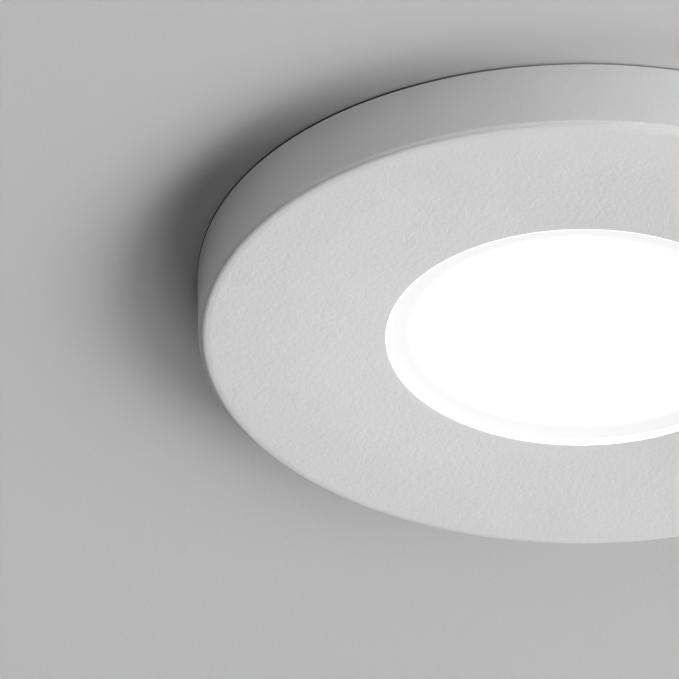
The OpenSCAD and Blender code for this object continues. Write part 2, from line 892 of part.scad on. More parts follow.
module driver_case() {
    color([0.9, 0.9, 0.89])
        difference() {
            union() {
                ring(case_r, case_in_r, case_z, case_top_z);
                disc(case_r, case_z, floor_z);
                intersection() {
                    disc(case_r, case_z, case_top_z);
                    case_inside();
                }
                translate([cable_x, entry_out_y, cable_z])
                    rotate([-90, 0, 0])
                        cylinder(r = entry_r + entry_wall, h = entry_l);
                both_sides()
                    along_x(case_knuckles[0], case_knuckles[1])
                        case_knuckle_outline();
            }
            disc(grommet_r + seat_fit, case_z - 1, floor_z + 1);
            for (at = case_screw_at)
                translate([at.x, at.y, 0])
                    disc(large_r + clear_fit, case_z - 1, floor_z + 1);
            for (turn = cover_boss_turns)
                polar(cover_boss_ring, turn)
                    disc(small_r + hold_fit, case_top_z - cover_screw_l, case_top_z + 1);
            for (turn = pcb_post_turns)
                polar(pcb_post_ring, turn)
                    disc(small_r + hold_fit, pcb_z + board_t - pcb_screw_l - hole_spare, pcb_z + 1);
            for (x = [cable_x - clamp_post_x, cable_x + clamp_post_x])
                translate([x, clamp_y, 0])
                    disc(small_r + hold_fit, clamp_z + clamp_t - cover_screw_l, clamp_z + 1);
            translate([cable_x, entry_out_y - 1, cable_z])
                rotate([-90, 0, 0])
                    cylinder(r = entry_r + hold_fit, h = entry_l + 2);
            for (x = supply_lead_at())
                translate([x, partition_out_y - 1, supply_z])
                    rotate([-90, 0, 0])
                        cylinder(r = lead_r + clear_fit, h = partition_t + 2);
            along_x(-case_r, case_r)
                translate([hinge_y, hinge_z])
                    circle(lid_pin_r + hold_fit);
        }
}

// Places of the two supply leads behind the terminal block
function supply_lead_at() = [for (x = supply_lead_in) block_left_x + x];

module case_screws() {
    color([0.7, 0.7, 0.72])
        for (at = case_screw_at)
            translate([at.x, at.y, floor_z])
                large_screw(case_screw_l);
}

module lead_grommet() {
    lip = 0.7;
    lip_t = 0.8;
    color([0.1, 0.1, 0.1])
        difference() {
            union() {
                disc(grommet_r, case_z, floor_z);
                disc(grommet_r + lip, case_z - lip_t, case_z);
                disc(grommet_r + lip, floor_z, floor_z + lip_t);
            }
            disc(led_lead_x + led_lead_r + hold_fit, case_z - 2, floor_z + 2);
        }
}

// One LED lead, from its pad under the LED board up to the driver board
module led_lead() {
    low_z = board_z - led_lead_r - hold_fit;
    bend_z = low_z + lead_bend;
    disc(led_lead_r, bend_z, pcb_z);
    translate([lead_bend, 0, bend_z])
        rotate([90, 0, 0])
            rotate([0, 0, 180])
                rotate_extrude(angle = 90)
                    translate([lead_bend, 0])
                        circle(led_lead_r);
    translate([lead_bend, 0, low_z])
        rotate([0, 90, 0])
            cylinder(r = led_lead_r, h = lead_tail);
}

module lead_red() {
    color([0.75, 0.1, 0.08])
        translate([led_lead_x, 0, 0])
            led_lead();
}

module lead_black() {
    color([0.08, 0.08, 0.08])
        mirror([1, 0, 0])
            translate([led_lead_x, 0, 0])
                led_lead();
}

module driver_board() {
    edge_y = partition_y + pcb_gap;
    color([0.1, 0.38, 0.22])
        difference() {
            intersection() {
                disc(pcb_r, pcb_z, pcb_top_z);
                block([-case_r, edge_y, pcb_z], [case_r, case_r, pcb_top_z]);
            }
            for (turn = cover_boss_turns)
                polar(cover_boss_ring, turn)
                    disc(cover_boss_r + pcb_gap, pcb_z - 1, pcb_top_z + 1);
            for (turn = pcb_post_turns)
                polar(pcb_post_ring, turn)
                    disc(small_r + clear_fit, pcb_z - 1, pcb_top_z + 1);
        }
}

module pcb_screws() {
    color([0.7, 0.7, 0.72])
        for (turn = pcb_post_turns)
            polar(pcb_post_ring, turn)
                translate([0, 0, pcb_top_z])
                    small_screw(pcb_screw_l);
}

// Box that stands on the driver board, given by its middle and size
module on_board(middle, size) {
    translate([middle.x - size.x / 2, middle.y - size.y / 2, pcb_top_z])
        cube(size);
}

// Round part that stands on the driver board
module can_on_board(middle, r, h) {
    translate([middle.x, middle.y, pcb_top_z])
        rotate_extrude() {
            square([r, h - can_step]);
            square([r - can_step, h]);
        }
}

module fuse() {
    color([0.15, 0.15, 0.15])
        on_board(fuse_at, fuse_size);
}

module choke() {
    color([0.25, 0.22, 0.2])
        translate([choke_at.x, choke_at.y, pcb_top_z]) {
            cylinder(r = choke_r, h = choke_flange_t);
            cylinder(r = choke_winding_r, h = choke_h);
            translate([0, 0, choke_h - choke_flange_t])
                cylinder(r = choke_r, h = choke_flange_t);
        }
}

module transformer() {
    color([0.85, 0.75, 0.2]) {
        on_board(transformer_at, transformer_core);
        on_board(transformer_at, transformer_winding);
    }
}

module input_capacitor() {
    color([0.12, 0.12, 0.14])
        can_on_board(input_can_at, input_can_r, input_can_h);
}

module output_capacitor() {
    color([0.12, 0.12, 0.14])
        can_on_board(output_can_at, output_can_r, output_can_h);
}

module filter_capacitor() {
    color([0.85, 0.8, 0.15])
        on_board(film_box_at, film_box_size);
}

module varistor() {
    color([0.1, 0.3, 0.6]) {
        translate([varistor_at.x, varistor_at.y - varistor_t / 2, pcb_top_z + varistor_up])
            rotate([-90, 0, 0])
                cylinder(r = varistor_r, h = varistor_t);
        on_board(varistor_at, varistor_foot);
    }
}

module driver_chips() {
    color([0.1, 0.1, 0.1])
        for (i = [0, 1])
            on_board(chip_spots[i], chip_sizes[i]);
}

// One supply lead, from the back of the terminal block through the partition and down to the driver board
module supply_lead(x) {
    run_l = supply_y - lead_bend - block_back_y;
    translate([x, block_back_y, supply_z])
        rotate([-90, 0, 0])
            cylinder(r = lead_r, h = run_l);
    translate([x, supply_y - lead_bend, supply_z - lead_bend])
        rotate([90, 0, 90])
            rotate_extrude(angle = 90)
                translate([lead_bend, 0])
                    circle(lead_r);
    translate([x, supply_y, 0])
        disc(lead_r, pcb_top_z, supply_z - lead_bend);
}

module supply_lead_live() {
    color([0.4, 0.22, 0.12])
        supply_lead(supply_lead_at()[0]);
}

module supply_lead_neutral() {
    color([0.1, 0.3, 0.7])
        supply_lead(supply_lead_at()[1]);
}

module driver_cover() {
    edge_y = hinge_y + knuckle_r + run_gap;
    color([0.93, 0.93, 0.92])
        difference() {
            intersection() {
                rotate_extrude()
                    cover_section(case_top_z, cover_top_z);
                block([-case_r, edge_y, case_top_z], [case_r, case_r, cover_top_z]);
            }
            for (turn = cover_boss_turns)
                polar(cover_boss_ring, turn)
                    disc(small_r + clear_fit, case_top_z - 1, cover_top_z + 1);
        }
}

module cover_screws() {
    color([0.7, 0.7, 0.72])
        for (turn = cover_boss_turns)
            polar(cover_boss_ring, turn)
                translate([0, 0, cover_top_z])
                    small_screw(cover_screw_l);
}

// Places of the terminals along the block
function terminal_at() = [for (i = [0 : terminal_count - 1]) block_left_x + terminal_pitch * (i + 0.5)];

module terminal_block() {
    top = block_z + block_h;
    color([0.88, 0.88, 0.86])
        difference() {
            block([block_left_x, block_front_y, block_z], [block_right_x, block_back_y, top]);
            for (x = terminal_at()) {
                translate([x, terminal_screw_y, 0])
                    disc(terminal_r + seat_fit, top - terminal_deep - terminal_screw_l, top + 1);
                translate([x, block_front_y - 1, block_z + wire_entry_up])
                    rotate([-90, 0, 0])
                        cylinder(r = wire_entry_r, h = wire_entry_l);
            }
        }
}

module terminal_screws() {
    top = block_z + block_h - terminal_deep;
    color([0.8, 0.75, 0.5])
        for (x = terminal_at())
            translate([x, terminal_screw_y, 0])
                difference() {
                    disc(terminal_r, top - terminal_screw_l, top);
                    block([-terminal_r, -terminal_slot_w / 2, top - terminal_slot_deep],
                        [terminal_r, terminal_slot_w / 2, top + 1]);
                }
}

// The lid's round plate, cut off at the hinge and notched round the case's knuckles
module lid_plate() {
    difference() {
        intersection() {
            rotate_extrude()
                cover_section(lid_z, lid_z + cover_t);
            block([-case_r, -case_r, lid_z], [case_r, hinge_y, lid_z + cover_t]);
        }
        both_sides()
            block([lid_knuckle_half, lid_edge_y, lid_z - 1],
                [case_knuckles[1] + run_gap, hinge_y + 1, lid_z + cover_t + 1]);
    }
}

// The lip that hangs from the lid inside the case's wall
module lid_lip() {
    lip_r = case_in_r - lid_lip_gap;
    low = lid_z - lid_lip_h;
    intersection() {
        ring(lip_r, lip_r - lid_lip_t, low, lid_z);
        block([-case_r, -case_r, low], [case_r, lid_edge_y - 1, lid_z]);
    }
}

// The finger tab on the lid's front, outside the case's wall
module lid_tab() {
    tab_y = -case_r - lid_tab_gap;
    top = lid_z + cover_t - cover_edge_r;
    half = lid_tab_w / 2;
    block([-half, tab_y - lid_tab_t, lid_z - lid_tab_h], [half, tab_y, top]);
    block([-half, tab_y - lid_tab_t, lid_z], [half, -case_in_r, top]);
}

module terminal_lid() {
    color([0.93, 0.93, 0.92])
        difference() {
            union() {
                lid_plate();
                lid_lip();
                lid_tab();
                along_x(-lid_knuckle_half, lid_knuckle_half)
                    translate([hinge_y, hinge_z])
                        circle(knuckle_r);
            }
            along_x(-case_r, case_r)
                translate([hinge_y, hinge_z])
                    circle(lid_pin_r + turn_fit);
        }
}

module lid_hinge_pin() {
    color([0.75, 0.76, 0.78])
        along_x(-case_knuckles[1], case_knuckles[1])
            translate([hinge_y, hinge_z])
                circle(lid_pin_r);
}

module cord_clamp() {
    half = clamp_post_x + clamp_post_r;
    color([0.88, 0.88, 0.86])
        difference() {
            block([cable_x - half, clamp_y - clamp_w / 2, clamp_z],
                [cable_x + half, clamp_y + clamp_w / 2, clamp_z + clamp_t]);
            for (x = [cable_x - clamp_post_x, cable_x + clamp_post_x])
                translate([x, clamp_y, 0])
                    disc(small_r + clear_fit, clamp_z - 1, clamp_z + clamp_t + 1);
        }
}

module clamp_screws() {
    color([0.7, 0.7, 0.72])
        for (x = [cable_x - clamp_post_x, cable_x + clamp_post_x])
            translate([x, clamp_y, clamp_z + clamp_t])
                small_screw(cover_screw_l - 1);
}

module cable_grommet() {
    color([0.1, 0.1, 0.1])
        translate([cable_x, entry_out_y, cable_z])
            rotate([-90, 0, 0])
                difference() {
                    union() {
                        disc(entry_r, 0, entry_l);
                        disc(grommet_lip_r, -grommet_lip_t, 0);
                        disc(grommet_lip_r, entry_l, entry_l + grommet_lip_t);
                    }
                    disc(cable_r, -grommet_lip_t - 1, entry_l + grommet_lip_t + 1);
                }
}

bezel();
ceiling_gasket();
diffuser_seal();
diffuser();
reflector();
led_board();
led_chips();
board_screws();
thermal_pad();
heat_sink();
collar_seal();
bezel_screws();
clip_bracket(true);  // clip_bracket_left
clip_bracket(false);  // clip_bracket_right
clip_pin(true);  // clip_pin_left
clip_pin(false);  // clip_pin_right
clip_spring(true);  // clip_spring_left
clip_spring(false);  // clip_spring_right
clip_arm(true);  // clip_arm_left
clip_arm(false);  // clip_arm_right
clip_sleeve(true);  // clip_sleeve_left
clip_sleeve(false);  // clip_sleeve_right
pin_rings();
bracket_screws();
driver_case();
case_screws();
lead_grommet();
lead_red();
lead_black();
driver_board();
pcb_screws();
fuse();
choke();
transformer();
input_capacitor();
output_capacitor();
filter_capacitor();
varistor();
driver_chips();
supply_lead_live();
supply_lead_neutral();
driver_cover();
cover_screws();
terminal_block();
terminal_screws();
terminal_lid();
lid_hinge_pin();
cord_clamp();
clamp_screws();
cable_grommet();
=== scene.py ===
# %% [markdown]
# # A recessed ceiling light, dressed
# This lesson dresses a small recessed light: a cast trim ring with an opal window, which sits under a
# ceiling, and above the ceiling a finned heat sink, two spring clips and a driver in its case. The exact
# solids come packed from the CAD step. Blender adds what they lack: rounded edges, wound wire, grain,
# metal and plastic finishes, and light. Nothing here moves a solid, so the joints still fit.

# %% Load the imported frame
import json
import math

import bmesh
import bpy
import numpy as np
from mathutils import Matrix, Vector


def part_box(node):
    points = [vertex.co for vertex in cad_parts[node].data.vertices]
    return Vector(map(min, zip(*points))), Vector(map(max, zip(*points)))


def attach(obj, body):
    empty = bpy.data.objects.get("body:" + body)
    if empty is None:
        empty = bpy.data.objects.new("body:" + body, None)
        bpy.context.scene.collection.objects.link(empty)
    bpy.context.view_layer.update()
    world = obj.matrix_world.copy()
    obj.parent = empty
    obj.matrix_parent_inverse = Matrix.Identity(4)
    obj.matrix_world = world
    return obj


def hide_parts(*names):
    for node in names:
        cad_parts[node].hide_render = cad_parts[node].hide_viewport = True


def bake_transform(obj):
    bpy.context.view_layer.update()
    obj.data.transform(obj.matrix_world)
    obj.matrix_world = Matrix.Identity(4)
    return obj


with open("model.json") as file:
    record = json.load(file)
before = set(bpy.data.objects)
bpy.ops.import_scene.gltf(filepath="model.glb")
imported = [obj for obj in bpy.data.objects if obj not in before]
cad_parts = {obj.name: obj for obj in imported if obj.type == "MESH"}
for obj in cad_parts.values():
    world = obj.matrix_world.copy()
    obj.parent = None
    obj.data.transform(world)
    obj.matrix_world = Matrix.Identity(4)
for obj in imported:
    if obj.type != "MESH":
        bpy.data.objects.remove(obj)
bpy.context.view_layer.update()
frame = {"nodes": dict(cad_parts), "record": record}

MM = 0.001
scene = bpy.context.scene
nodes = frame["nodes"]
slot_of = {row["node"]: row["material_slot"] for row in frame["record"]["subparts"]}

# %% [markdown]
# ## Shader helpers
# A material is a small graph of nodes. Writing each one by hand takes six lines, so one helper makes a
# node, sets its options and either links or types in its inputs. A second helper does arithmetic, which
# procedural materials need all the time.


# %% Two helpers for node graphs
def put(tree, kind, inputs=None, **options):
    """A new node with its options set. An input that is a socket is linked, anything else is typed in."""
    made = tree.nodes.new(kind)
    for name, value in options.items():
        setattr(made, name, value)
    for name, value in (inputs or {}).items():
        if isinstance(value, bpy.types.NodeSocket):
            tree.links.new(value, made.inputs[name])
        else:
            made.inputs[name].default_value = value
    return made


def calc(tree, operation, *values, clamp=False):
    """The result of one math node on numbers or sockets."""
    made = put(tree, "ShaderNodeMath", dict(enumerate(values)), operation=operation, use_clamp=clamp)
    return made.outputs[0]


def ramp(tree, value, low, high, to_low=0.0, to_high=1.0, smooth=False):
    """value carried from the span low..high onto the span to_low..to_high, held at both ends."""
    kind = "SMOOTHSTEP" if smooth else "LINEAR"
    inputs = {"Value": value, "From Min": low, "From Max": high, "To Min": to_low, "To Max": to_high}
    return put(tree, "ShaderNodeMapRange", inputs, interpolation_type=kind).outputs["Result"]


def blend_colours(tree, factor, one, other):
    """A colour between two, by a factor that varies over the surface."""
    made = put(tree, "ShaderNodeMix", data_type="RGBA")
    for name, value in {"Factor": factor, "A": one, "B": other}.items():
        socket = next(s for s in made.inputs if s.name == name and s.enabled)
        if isinstance(value, bpy.types.NodeSocket):
            tree.links.new(value, socket)
        else:
            socket.default_value = value
    return next(s for s in made.outputs if s.enabled)


def paint(grey_or_rgb):
    """An opaque colour written as it looks on screen, from 0 to 1, turned into linear light."""
    rgb = np.broadcast_to(np.asarray(grey_or_rgb, float), 3)
    linear = np.where(rgb <= 0.04045, rgb / 12.92, ((rgb + 0.055) / 1.055) ** 2.4)
    return (*linear.tolist(), 1.0)


print("a mid grey of 0.5 on screen is", round(paint(0.5)[0], 3), "in linear light")

# %% [markdown]
# ## Effects that several finishes share
# Paint, plastic and castings all have a skin of fine bumps. Metals have rolling or turning lines. Edges are
# rubbed a little brighter than faces, and no colour is perfectly even. Each effect is a node group that is
# built once. A group gives out only heights, masks and colours, because the shader that uses them stays in
# the material, where the export can read it.


# %% A group with named inputs and outputs
def new_group(name, inputs, outputs):
    """An empty shader group with its sockets. inputs maps a name to a kind and a first value."""
    group = bpy.data.node_groups.new(name, "ShaderNodeTree")
    for label, (kind, start) in inputs.items():
        socket = group.interface.new_socket(label, in_out="INPUT", socket_type="NodeSocket" + kind)
        if start is not None:
            socket.default_value = start
    for label, kind in outputs.items():
        group.interface.new_socket(label, in_out="OUTPUT", socket_type="NodeSocket" + kind)
    entry = group.nodes.new("NodeGroupInput").outputs
    leave = group.nodes.new("NodeGroupOutput").inputs
    return group, entry, leave


def noise(tree, vector, per_metre, detail=2.0, roughness=0.5):
    """Smooth random bumps, this many to the metre."""
    inputs = {"Vector": vector, "Scale": per_metre, "Detail": detail, "Roughness": roughness}
    return put(tree, "ShaderNodeTexNoise", inputs).outputs["Fac"]


# %% Skin grain: a broad bump with a finer one on it
finer, slower = 3.3, 0.09
skin_grain, entry, leave = new_group(
    "skin_grain",
    {"Vector": ("Vector", None), "Per metre": ("Float", 1200.0), "Fine share": ("Float", 0.35)},
    {"Height": "Float", "Patch": "Float"},
)
broad = noise(skin_grain, entry["Vector"], entry["Per metre"], 1.0)
dense = calc(skin_grain, "MULTIPLY", entry["Per metre"], finer)
fine = noise(skin_grain, entry["Vector"], dense, 1.0)
fine_part = calc(skin_grain, "MULTIPLY", fine, entry["Fine share"])
skin_grain.links.new(calc(skin_grain, "ADD", broad, fine_part), leave["Height"])
sparse = calc(skin_grain, "MULTIPLY", entry["Per metre"], slower)
skin_grain.links.new(noise(skin_grain, entry["Vector"], sparse, 3.0, 0.6), leave["Patch"])
print("group", skin_grain.name)

# %% Drawn lines: the same noise, stretched along one direction
drawn_lines, entry, leave = new_group(
    "drawn_lines",
    {"Vector": ("Vector", None), "Stretch": ("Vector", (0.04, 1.0, 1.0)), "Per metre": ("Float", 9000.0)},
    {"Height": "Float"},
)
stretched = {0: entry["Vector"], 1: entry["Stretch"]}
pulled = put(drawn_lines, "ShaderNodeVectorMath", stretched, operation="MULTIPLY").outputs[0]
drawn_lines.links.new(noise(drawn_lines, pulled, entry["Per metre"], 3.0, 0.6), leave["Height"])
print("group", drawn_lines.name)

# %% Rubbed edges: where a rounded normal turns away from the true one
rubbed_edge, entry, leave = new_group(
    "rubbed_edge",
    {"Width": ("Float", 0.0004), "Gain": ("Float", 6.0)},
    {"Mask": "Float"},
)
soft_normal = put(rubbed_edge, "ShaderNodeBevel", {"Radius": entry["Width"]}, samples=4).outputs[0]
true_normal = put(rubbed_edge, "ShaderNodeNewGeometry").outputs["Normal"]
facing = put(rubbed_edge, "ShaderNodeVectorMath", {0: soft_normal, 1: true_normal}, operation="DOT_PRODUCT")
turned_away = calc(rubbed_edge, "SUBTRACT", 1.0, facing.outputs["Value"])
rubbed_edge.links.new(calc(rubbed_edge, "MULTIPLY", turned_away, entry["Gain"], clamp=True), leave["Mask"])
print("group", rubbed_edge.name)

# %% [markdown]
# ## Finishes
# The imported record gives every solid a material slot, such as cast aluminium or spring sheet. Each slot gets
# one finish here. They are all the same graph with different numbers: two tones that drift into each other,
# a roughness that drifts with them, a skin of bumps or drawn lines, and edges that are rubbed brighter. A
# rounded normal takes the knife edge off the solids that are shown as they are.


# %% One finish
patch_span = (0.3, 0.7)
polish = 0.35


def finish(slot, tones, rough, metallic=0.0, skin=(1200.0, 0.02), fine=0.35, lines=None, rub=0.0,
           rub_width=0.4, round_edge=0.15, sockets=None):
    """A material made of two tones (screen greys or RGB), a roughness span and a bump. skin is the bumps to
    the metre and their height in mm, fine the share of the finer bumps, and lines the drawn lines' stretch,
    number to the metre and height in mm. rub is how much brighter an edge gets over rub_width mm, round_edge
    the radius in mm that shading gives to edges, and sockets plain values typed into the shader."""
    material = bpy.data.materials.new(slot)
    material.use_nodes = True
    tree = material.node_tree
    shader = tree.nodes["Principled BSDF"]
    place = put(tree, "ShaderNodeTexCoord").outputs["Object"]
    grain = put(tree, "ShaderNodeGroup", node_tree=skin_grain)
    tree.links.new(place, grain.inputs["Vector"])
    grain.inputs["Per metre"].default_value = skin[0]
    grain.inputs["Fine share"].default_value = fine
    drift = ramp(tree, grain.outputs["Patch"], *patch_span)
    colour = blend_colours(tree, drift, paint(tones[0]), paint(tones[1]))
    dull = ramp(tree, grain.outputs["Patch"], *patch_span, rough[0], rough[1])
    if rub:
        edge = put(tree, "ShaderNodeGroup", {"Width": rub_width * MM}, node_tree=rubbed_edge)
        bright = np.clip(np.array(tones, float).max(axis=0) + rub, 0, 1)
        colour = blend_colours(tree, edge.outputs["Mask"], colour, paint(bright))
        shine = calc(tree, "MULTIPLY", edge.outputs["Mask"], rough[0] * polish)
        dull = calc(tree, "SUBTRACT", dull, shine)
    tree.links.new(colour, shader.inputs["Base Color"])
    tree.links.new(dull, shader.inputs["Roughness"])
    shader.inputs["Metallic"].default_value = metallic
    normal = None
    if round_edge:
        normal = put(tree, "ShaderNodeBevel", {"Radius": round_edge * MM}, samples=4).outputs[0]
    bumps = [(grain.outputs["Height"], skin[1])]
    if lines:
        settings = {"Vector": place, "Stretch": lines[0], "Per metre": lines[1]}
        drawn = put(tree, "ShaderNodeGroup", settings, node_tree=drawn_lines)
        bumps.append((drawn.outputs["Height"], lines[2]))
    for height, depth in bumps:
        inputs = {"Height": height, "Distance": depth * MM, "Strength": 1.0}
        if normal is not None:
            inputs["Normal"] = normal
        normal = put(tree, "ShaderNodeBump", inputs).outputs[0]
    tree.links.new(normal, shader.inputs["Normal"])
    for name, value in (sockets or {}).items():
        shader.inputs[name].default_value = value
    return material


along_x, along_y = (0.03, 1.0, 1.0), (1.0, 0.03, 1.0)
finishes = {}

# %% [markdown]
# ### The parts that a visitor sees
# The trim ring is a casting with an off-white powder coat. Powder melts into a skin like fine orange peel,
# with bumps a little under a millimetre across, so the bump carries the look and the colour hardly changes.
# The gasket is dark grey foam, dull and full of tiny cells.

# %% Trim coat and gasket foam
finishes["powder_coated_trim"] = finish(
    "powder_coated_trim", (0.78, 0.79), (0.46, 0.54), skin=(1800.0, 0.029), fine=0.5, round_edge=0)
finishes["gasket_foam"] = finish(
    "gasket_foam", (0.24, 0.30), (0.85, 0.95), skin=(3500.0, 0.08), round_edge=0)
print("finishes", len(finishes))

# %% [markdown]
# ### Metals above the ceiling
# The heat sink is die cast and lightly blasted, so it is mottled and has a fine rough skin. The clips are
# stainless sheet with rolling lines along the strip, the springs are drawn wire, and the screws are zinc
# plated, faintly blue and yellow. The roughness is what tells these metals apart.

# %% Metals
finishes["cast_aluminium"] = finish(
    "cast_aluminium", (0.72, 0.79), (0.36, 0.52), 1.0, skin=(2100.0, 0.03), fine=0.6, rub=0.1, rub_width=0.6,
    round_edge=0.3)
finishes["spring_sheet"] = finish(
    "spring_sheet", (0.77, 0.82), (0.22, 0.32), 1.0, skin=(900.0, 0.004), lines=(along_x, 9000.0, 0.004),
    rub=0.08, rub_width=0.25, round_edge=0.12)
finishes["spring_wire"] = finish(
    "spring_wire", (0.70, 0.77), (0.2, 0.3), 1.0, skin=(1500.0, 0.004), lines=(along_y, 12000.0, 0.003),
    round_edge=0)
finishes["pin_steel"] = finish(
    "pin_steel", (0.80, 0.84), (0.18, 0.28), 1.0, skin=(1500.0, 0.003), lines=(along_x, 12000.0, 0.003),
    rub=0.06, rub_width=0.2, round_edge=0.12)
finishes["black_ring"] = finish(
    "black_ring", (0.26, 0.32), (0.35, 0.5), 0.8, skin=(3000.0, 0.006), rub=0.15, rub_width=0.15)
finishes["zinc_screw"] = finish(
    "zinc_screw", ((0.80, 0.82, 0.85), (0.84, 0.83, 0.79)), (0.2, 0.34), 1.0, skin=(2500.0, 0.006), rub=0.08,
    rub_width=0.25, round_edge=0.1)
finishes["brass_screw"] = finish(
    "brass_screw", ((0.84, 0.75, 0.52), (0.87, 0.80, 0.60)), (0.22, 0.36), 1.0, skin=(2500.0, 0.006),
    rub=0.06, rub_width=0.2, round_edge=0.1)
print("finishes", len(finishes))

# %% [markdown]
# ### Plastics, rubber and silicone
# The driver's case and lid are light grey polycarbonate from a spark-eroded mould, which leaves a fine even
# grit. Rubber is black and dull. The sleeves on the clips are milky silicone: a little light goes into them,
# so they get some subsurface scattering.

# %% Plastics and rubbers
soft_scatter = {"Subsurface Weight": 0.35, "Subsurface Scale": 0.0015}
finishes["case_plastic"] = finish(
    "case_plastic", (0.86, 0.875), (0.46, 0.58), skin=(3600.0, 0.02), fine=0.6, rub=0.03, round_edge=0.25)
finishes["lid_plastic"] = finish(
    "lid_plastic", (0.885, 0.9), (0.44, 0.56), skin=(3600.0, 0.02), fine=0.6, rub=0.03, round_edge=0.25)
finishes["terminal_plastic"] = finish(
    "terminal_plastic", ((0.86, 0.85, 0.81), (0.88, 0.87, 0.84)), (0.38, 0.5), skin=(2600.0, 0.01),
    sockets=soft_scatter)
finishes["white_reflector"] = finish(
    "white_reflector", (0.93, 0.95), (0.5, 0.6), skin=(2200.0, 0.01))
finishes["black_rubber"] = finish(
    "black_rubber", (0.10, 0.15), (0.62, 0.8), skin=(2400.0, 0.015), rub=0.03, round_edge=0.2)
finishes["sleeve_silicone"] = finish(
    "sleeve_silicone", ((0.84, 0.85, 0.83), (0.88, 0.88, 0.86)), (0.34, 0.46), skin=(1300.0, 0.012),
    round_edge=0, sockets=soft_scatter)
finishes["clear_silicone"] = finish(
    "clear_silicone", ((0.82, 0.83, 0.82), (0.87, 0.87, 0.86)), (0.3, 0.4), skin=(1300.0, 0.01),
    sockets=soft_scatter)
finishes["thermal_gel"] = finish(
    "thermal_gel", ((0.50, 0.54, 0.60), (0.55, 0.59, 0.64)), (0.6, 0.75), skin=(1500.0, 0.02))
insulation = {
    "red_insulation": (0.66, 0.07, 0.05),
    "black_insulation": (0.07, 0.07, 0.07),
    "brown_insulation": (0.36, 0.2, 0.12),
    "blue_insulation": (0.08, 0.26, 0.62),
}
for slot, tone in insulation.items():
    lighter = tuple(1.12 * channel for channel in tone)
    finishes[slot] = finish(slot, (tone, lighter), (0.32, 0.42), skin=(1800.0, 0.008), round_edge=0)
print("finishes", len(finishes))

# %% [markdown]
# ### What is on the boards
# Inside the case little is seen until the terminal lid opens, but each part still gets its own finish: green
# solder mask on woven glass, black epoxy, yellow tape, and a cloudy yellow phosphor on the LED chips.

# %% Boards and components
board_parts = {
    "circuit_board": (((0.08, 0.36, 0.2), (0.1, 0.42, 0.24)), (0.3, 0.4), (1600.0, 0.012)),
    "led_board_white": ((0.90, 0.93), (0.35, 0.45), (1600.0, 0.008)),
    "led_phosphor": (((0.93, 0.80, 0.32), (0.96, 0.86, 0.42)), (0.3, 0.45), (5000.0, 0.03)),
    "black_component": ((0.13, 0.17), (0.5, 0.65), (4000.0, 0.015)),
    "ferrite": ((0.22, 0.28), (0.6, 0.75), (2500.0, 0.02)),
    "winding_tape": (((0.80, 0.66, 0.14), (0.85, 0.72, 0.2)), (0.25, 0.35), (900.0, 0.02)),
    "capacitor_sleeve": (((0.10, 0.11, 0.14), (0.14, 0.15, 0.18)), (0.25, 0.35), (900.0, 0.01)),
    "film_box": (((0.84, 0.73, 0.16), (0.87, 0.77, 0.22)), (0.35, 0.45), (2500.0, 0.01)),
    "varistor_coat": (((0.12, 0.3, 0.62), (0.16, 0.35, 0.68)), (0.28, 0.4), (700.0, 0.04)),
}
for slot, (tones, rough, skin) in board_parts.items():
    finishes[slot] = finish(slot, tones, rough, skin=skin, round_edge=0.15)
print("finishes", len(finishes))

# %% [markdown]
# ### The opal window
# The window is opal acrylic with light behind it. The middle glows evenly. Near the edge the reflector's rim
# keeps light away, so a ring there glows a shade darker, and its base colour is darkened as well, a painted
# shade. The thin lip that lines the opening glows again. An image could hold this pattern, but the distance
# from the axis, read from Object coordinates, gives it at any size: it sets an emission colour, and the base
# colour under it.

# %% Opal window
# The second base colour is a painted shade on the dimmer ring near the window's edge.
glow, opal_and_ring_shade, lip_blur = (paint(0.92), paint(0.903)), (paint(0.83), paint(0.35)), 0.03


def glowing_window(slot, radius, ring, blur):
    """White acrylic whose glow falls off over blur to a ring inside radius, all in mm, and is full again on
    the lip outside radius. The base colour darkens with the glow, a painted shade on the ring."""
    material = bpy.data.materials.new(slot)
    material.use_nodes = True
    tree = material.node_tree
    shader = tree.nodes["Principled BSDF"]
    place = put(tree, "ShaderNodeTexCoord").outputs["Object"]
    flat = put(tree, "ShaderNodeVectorMath", {0: place, 1: (1.0, 1.0, 0.0)}, operation="MULTIPLY").outputs[0]
    out = put(tree, "ShaderNodeVectorMath", {0: flat}, operation="LENGTH").outputs["Value"]
    edge = ramp(tree, out, (radius - ring - blur) * MM, (radius - ring) * MM, smooth=True)
    lip = ramp(tree, out, radius * MM, (radius + lip_blur) * MM)
    grain = put(tree, "ShaderNodeGroup", {"Vector": place}, node_tree=skin_grain)
    grain.inputs["Per metre"].default_value = 600.0
    cloud = ramp(tree, grain.outputs["Patch"], *patch_span, -0.02, 0.02)
    level = calc(tree, "SUBTRACT", calc(tree, "ADD", edge, cloud), lip, clamp=True)
    tree.links.new(blend_colours(tree, level, *glow), shader.inputs["Emission Color"])
    tree.links.new(blend_colours(tree, level, *opal_and_ring_shade), shader.inputs["Base Color"])
    dull = ramp(tree, grain.outputs["Patch"], *patch_span, 0.32, 0.4)
    tree.links.new(dull, shader.inputs["Roughness"])
    shader.inputs["Emission Strength"].default_value = 1.0
    shader.inputs["Specular IOR Level"].default_value = 0.25
    ripple = {"Height": grain.outputs["Height"], "Distance": 0.004 * MM, "Strength": 1.0}
    tree.links.new(put(tree, "ShaderNodeBump", ripple).outputs[0], shader.inputs["Normal"])
    return material


finishes["opal_diffuser"] = glowing_window("opal_diffuser", radius=22.74, ring=1.64, blur=4.7)
missing = sorted(set(slot_of.values()) - set(finishes))
print("finishes", len(finishes), "slots without one", missing)

# %% Every solid gets its slot's finish
for name, solid in nodes.items():
    solid.data.materials.clear()
    solid.data.materials.append(finishes[slot_of[name]])
print("solids dressed", len(nodes))

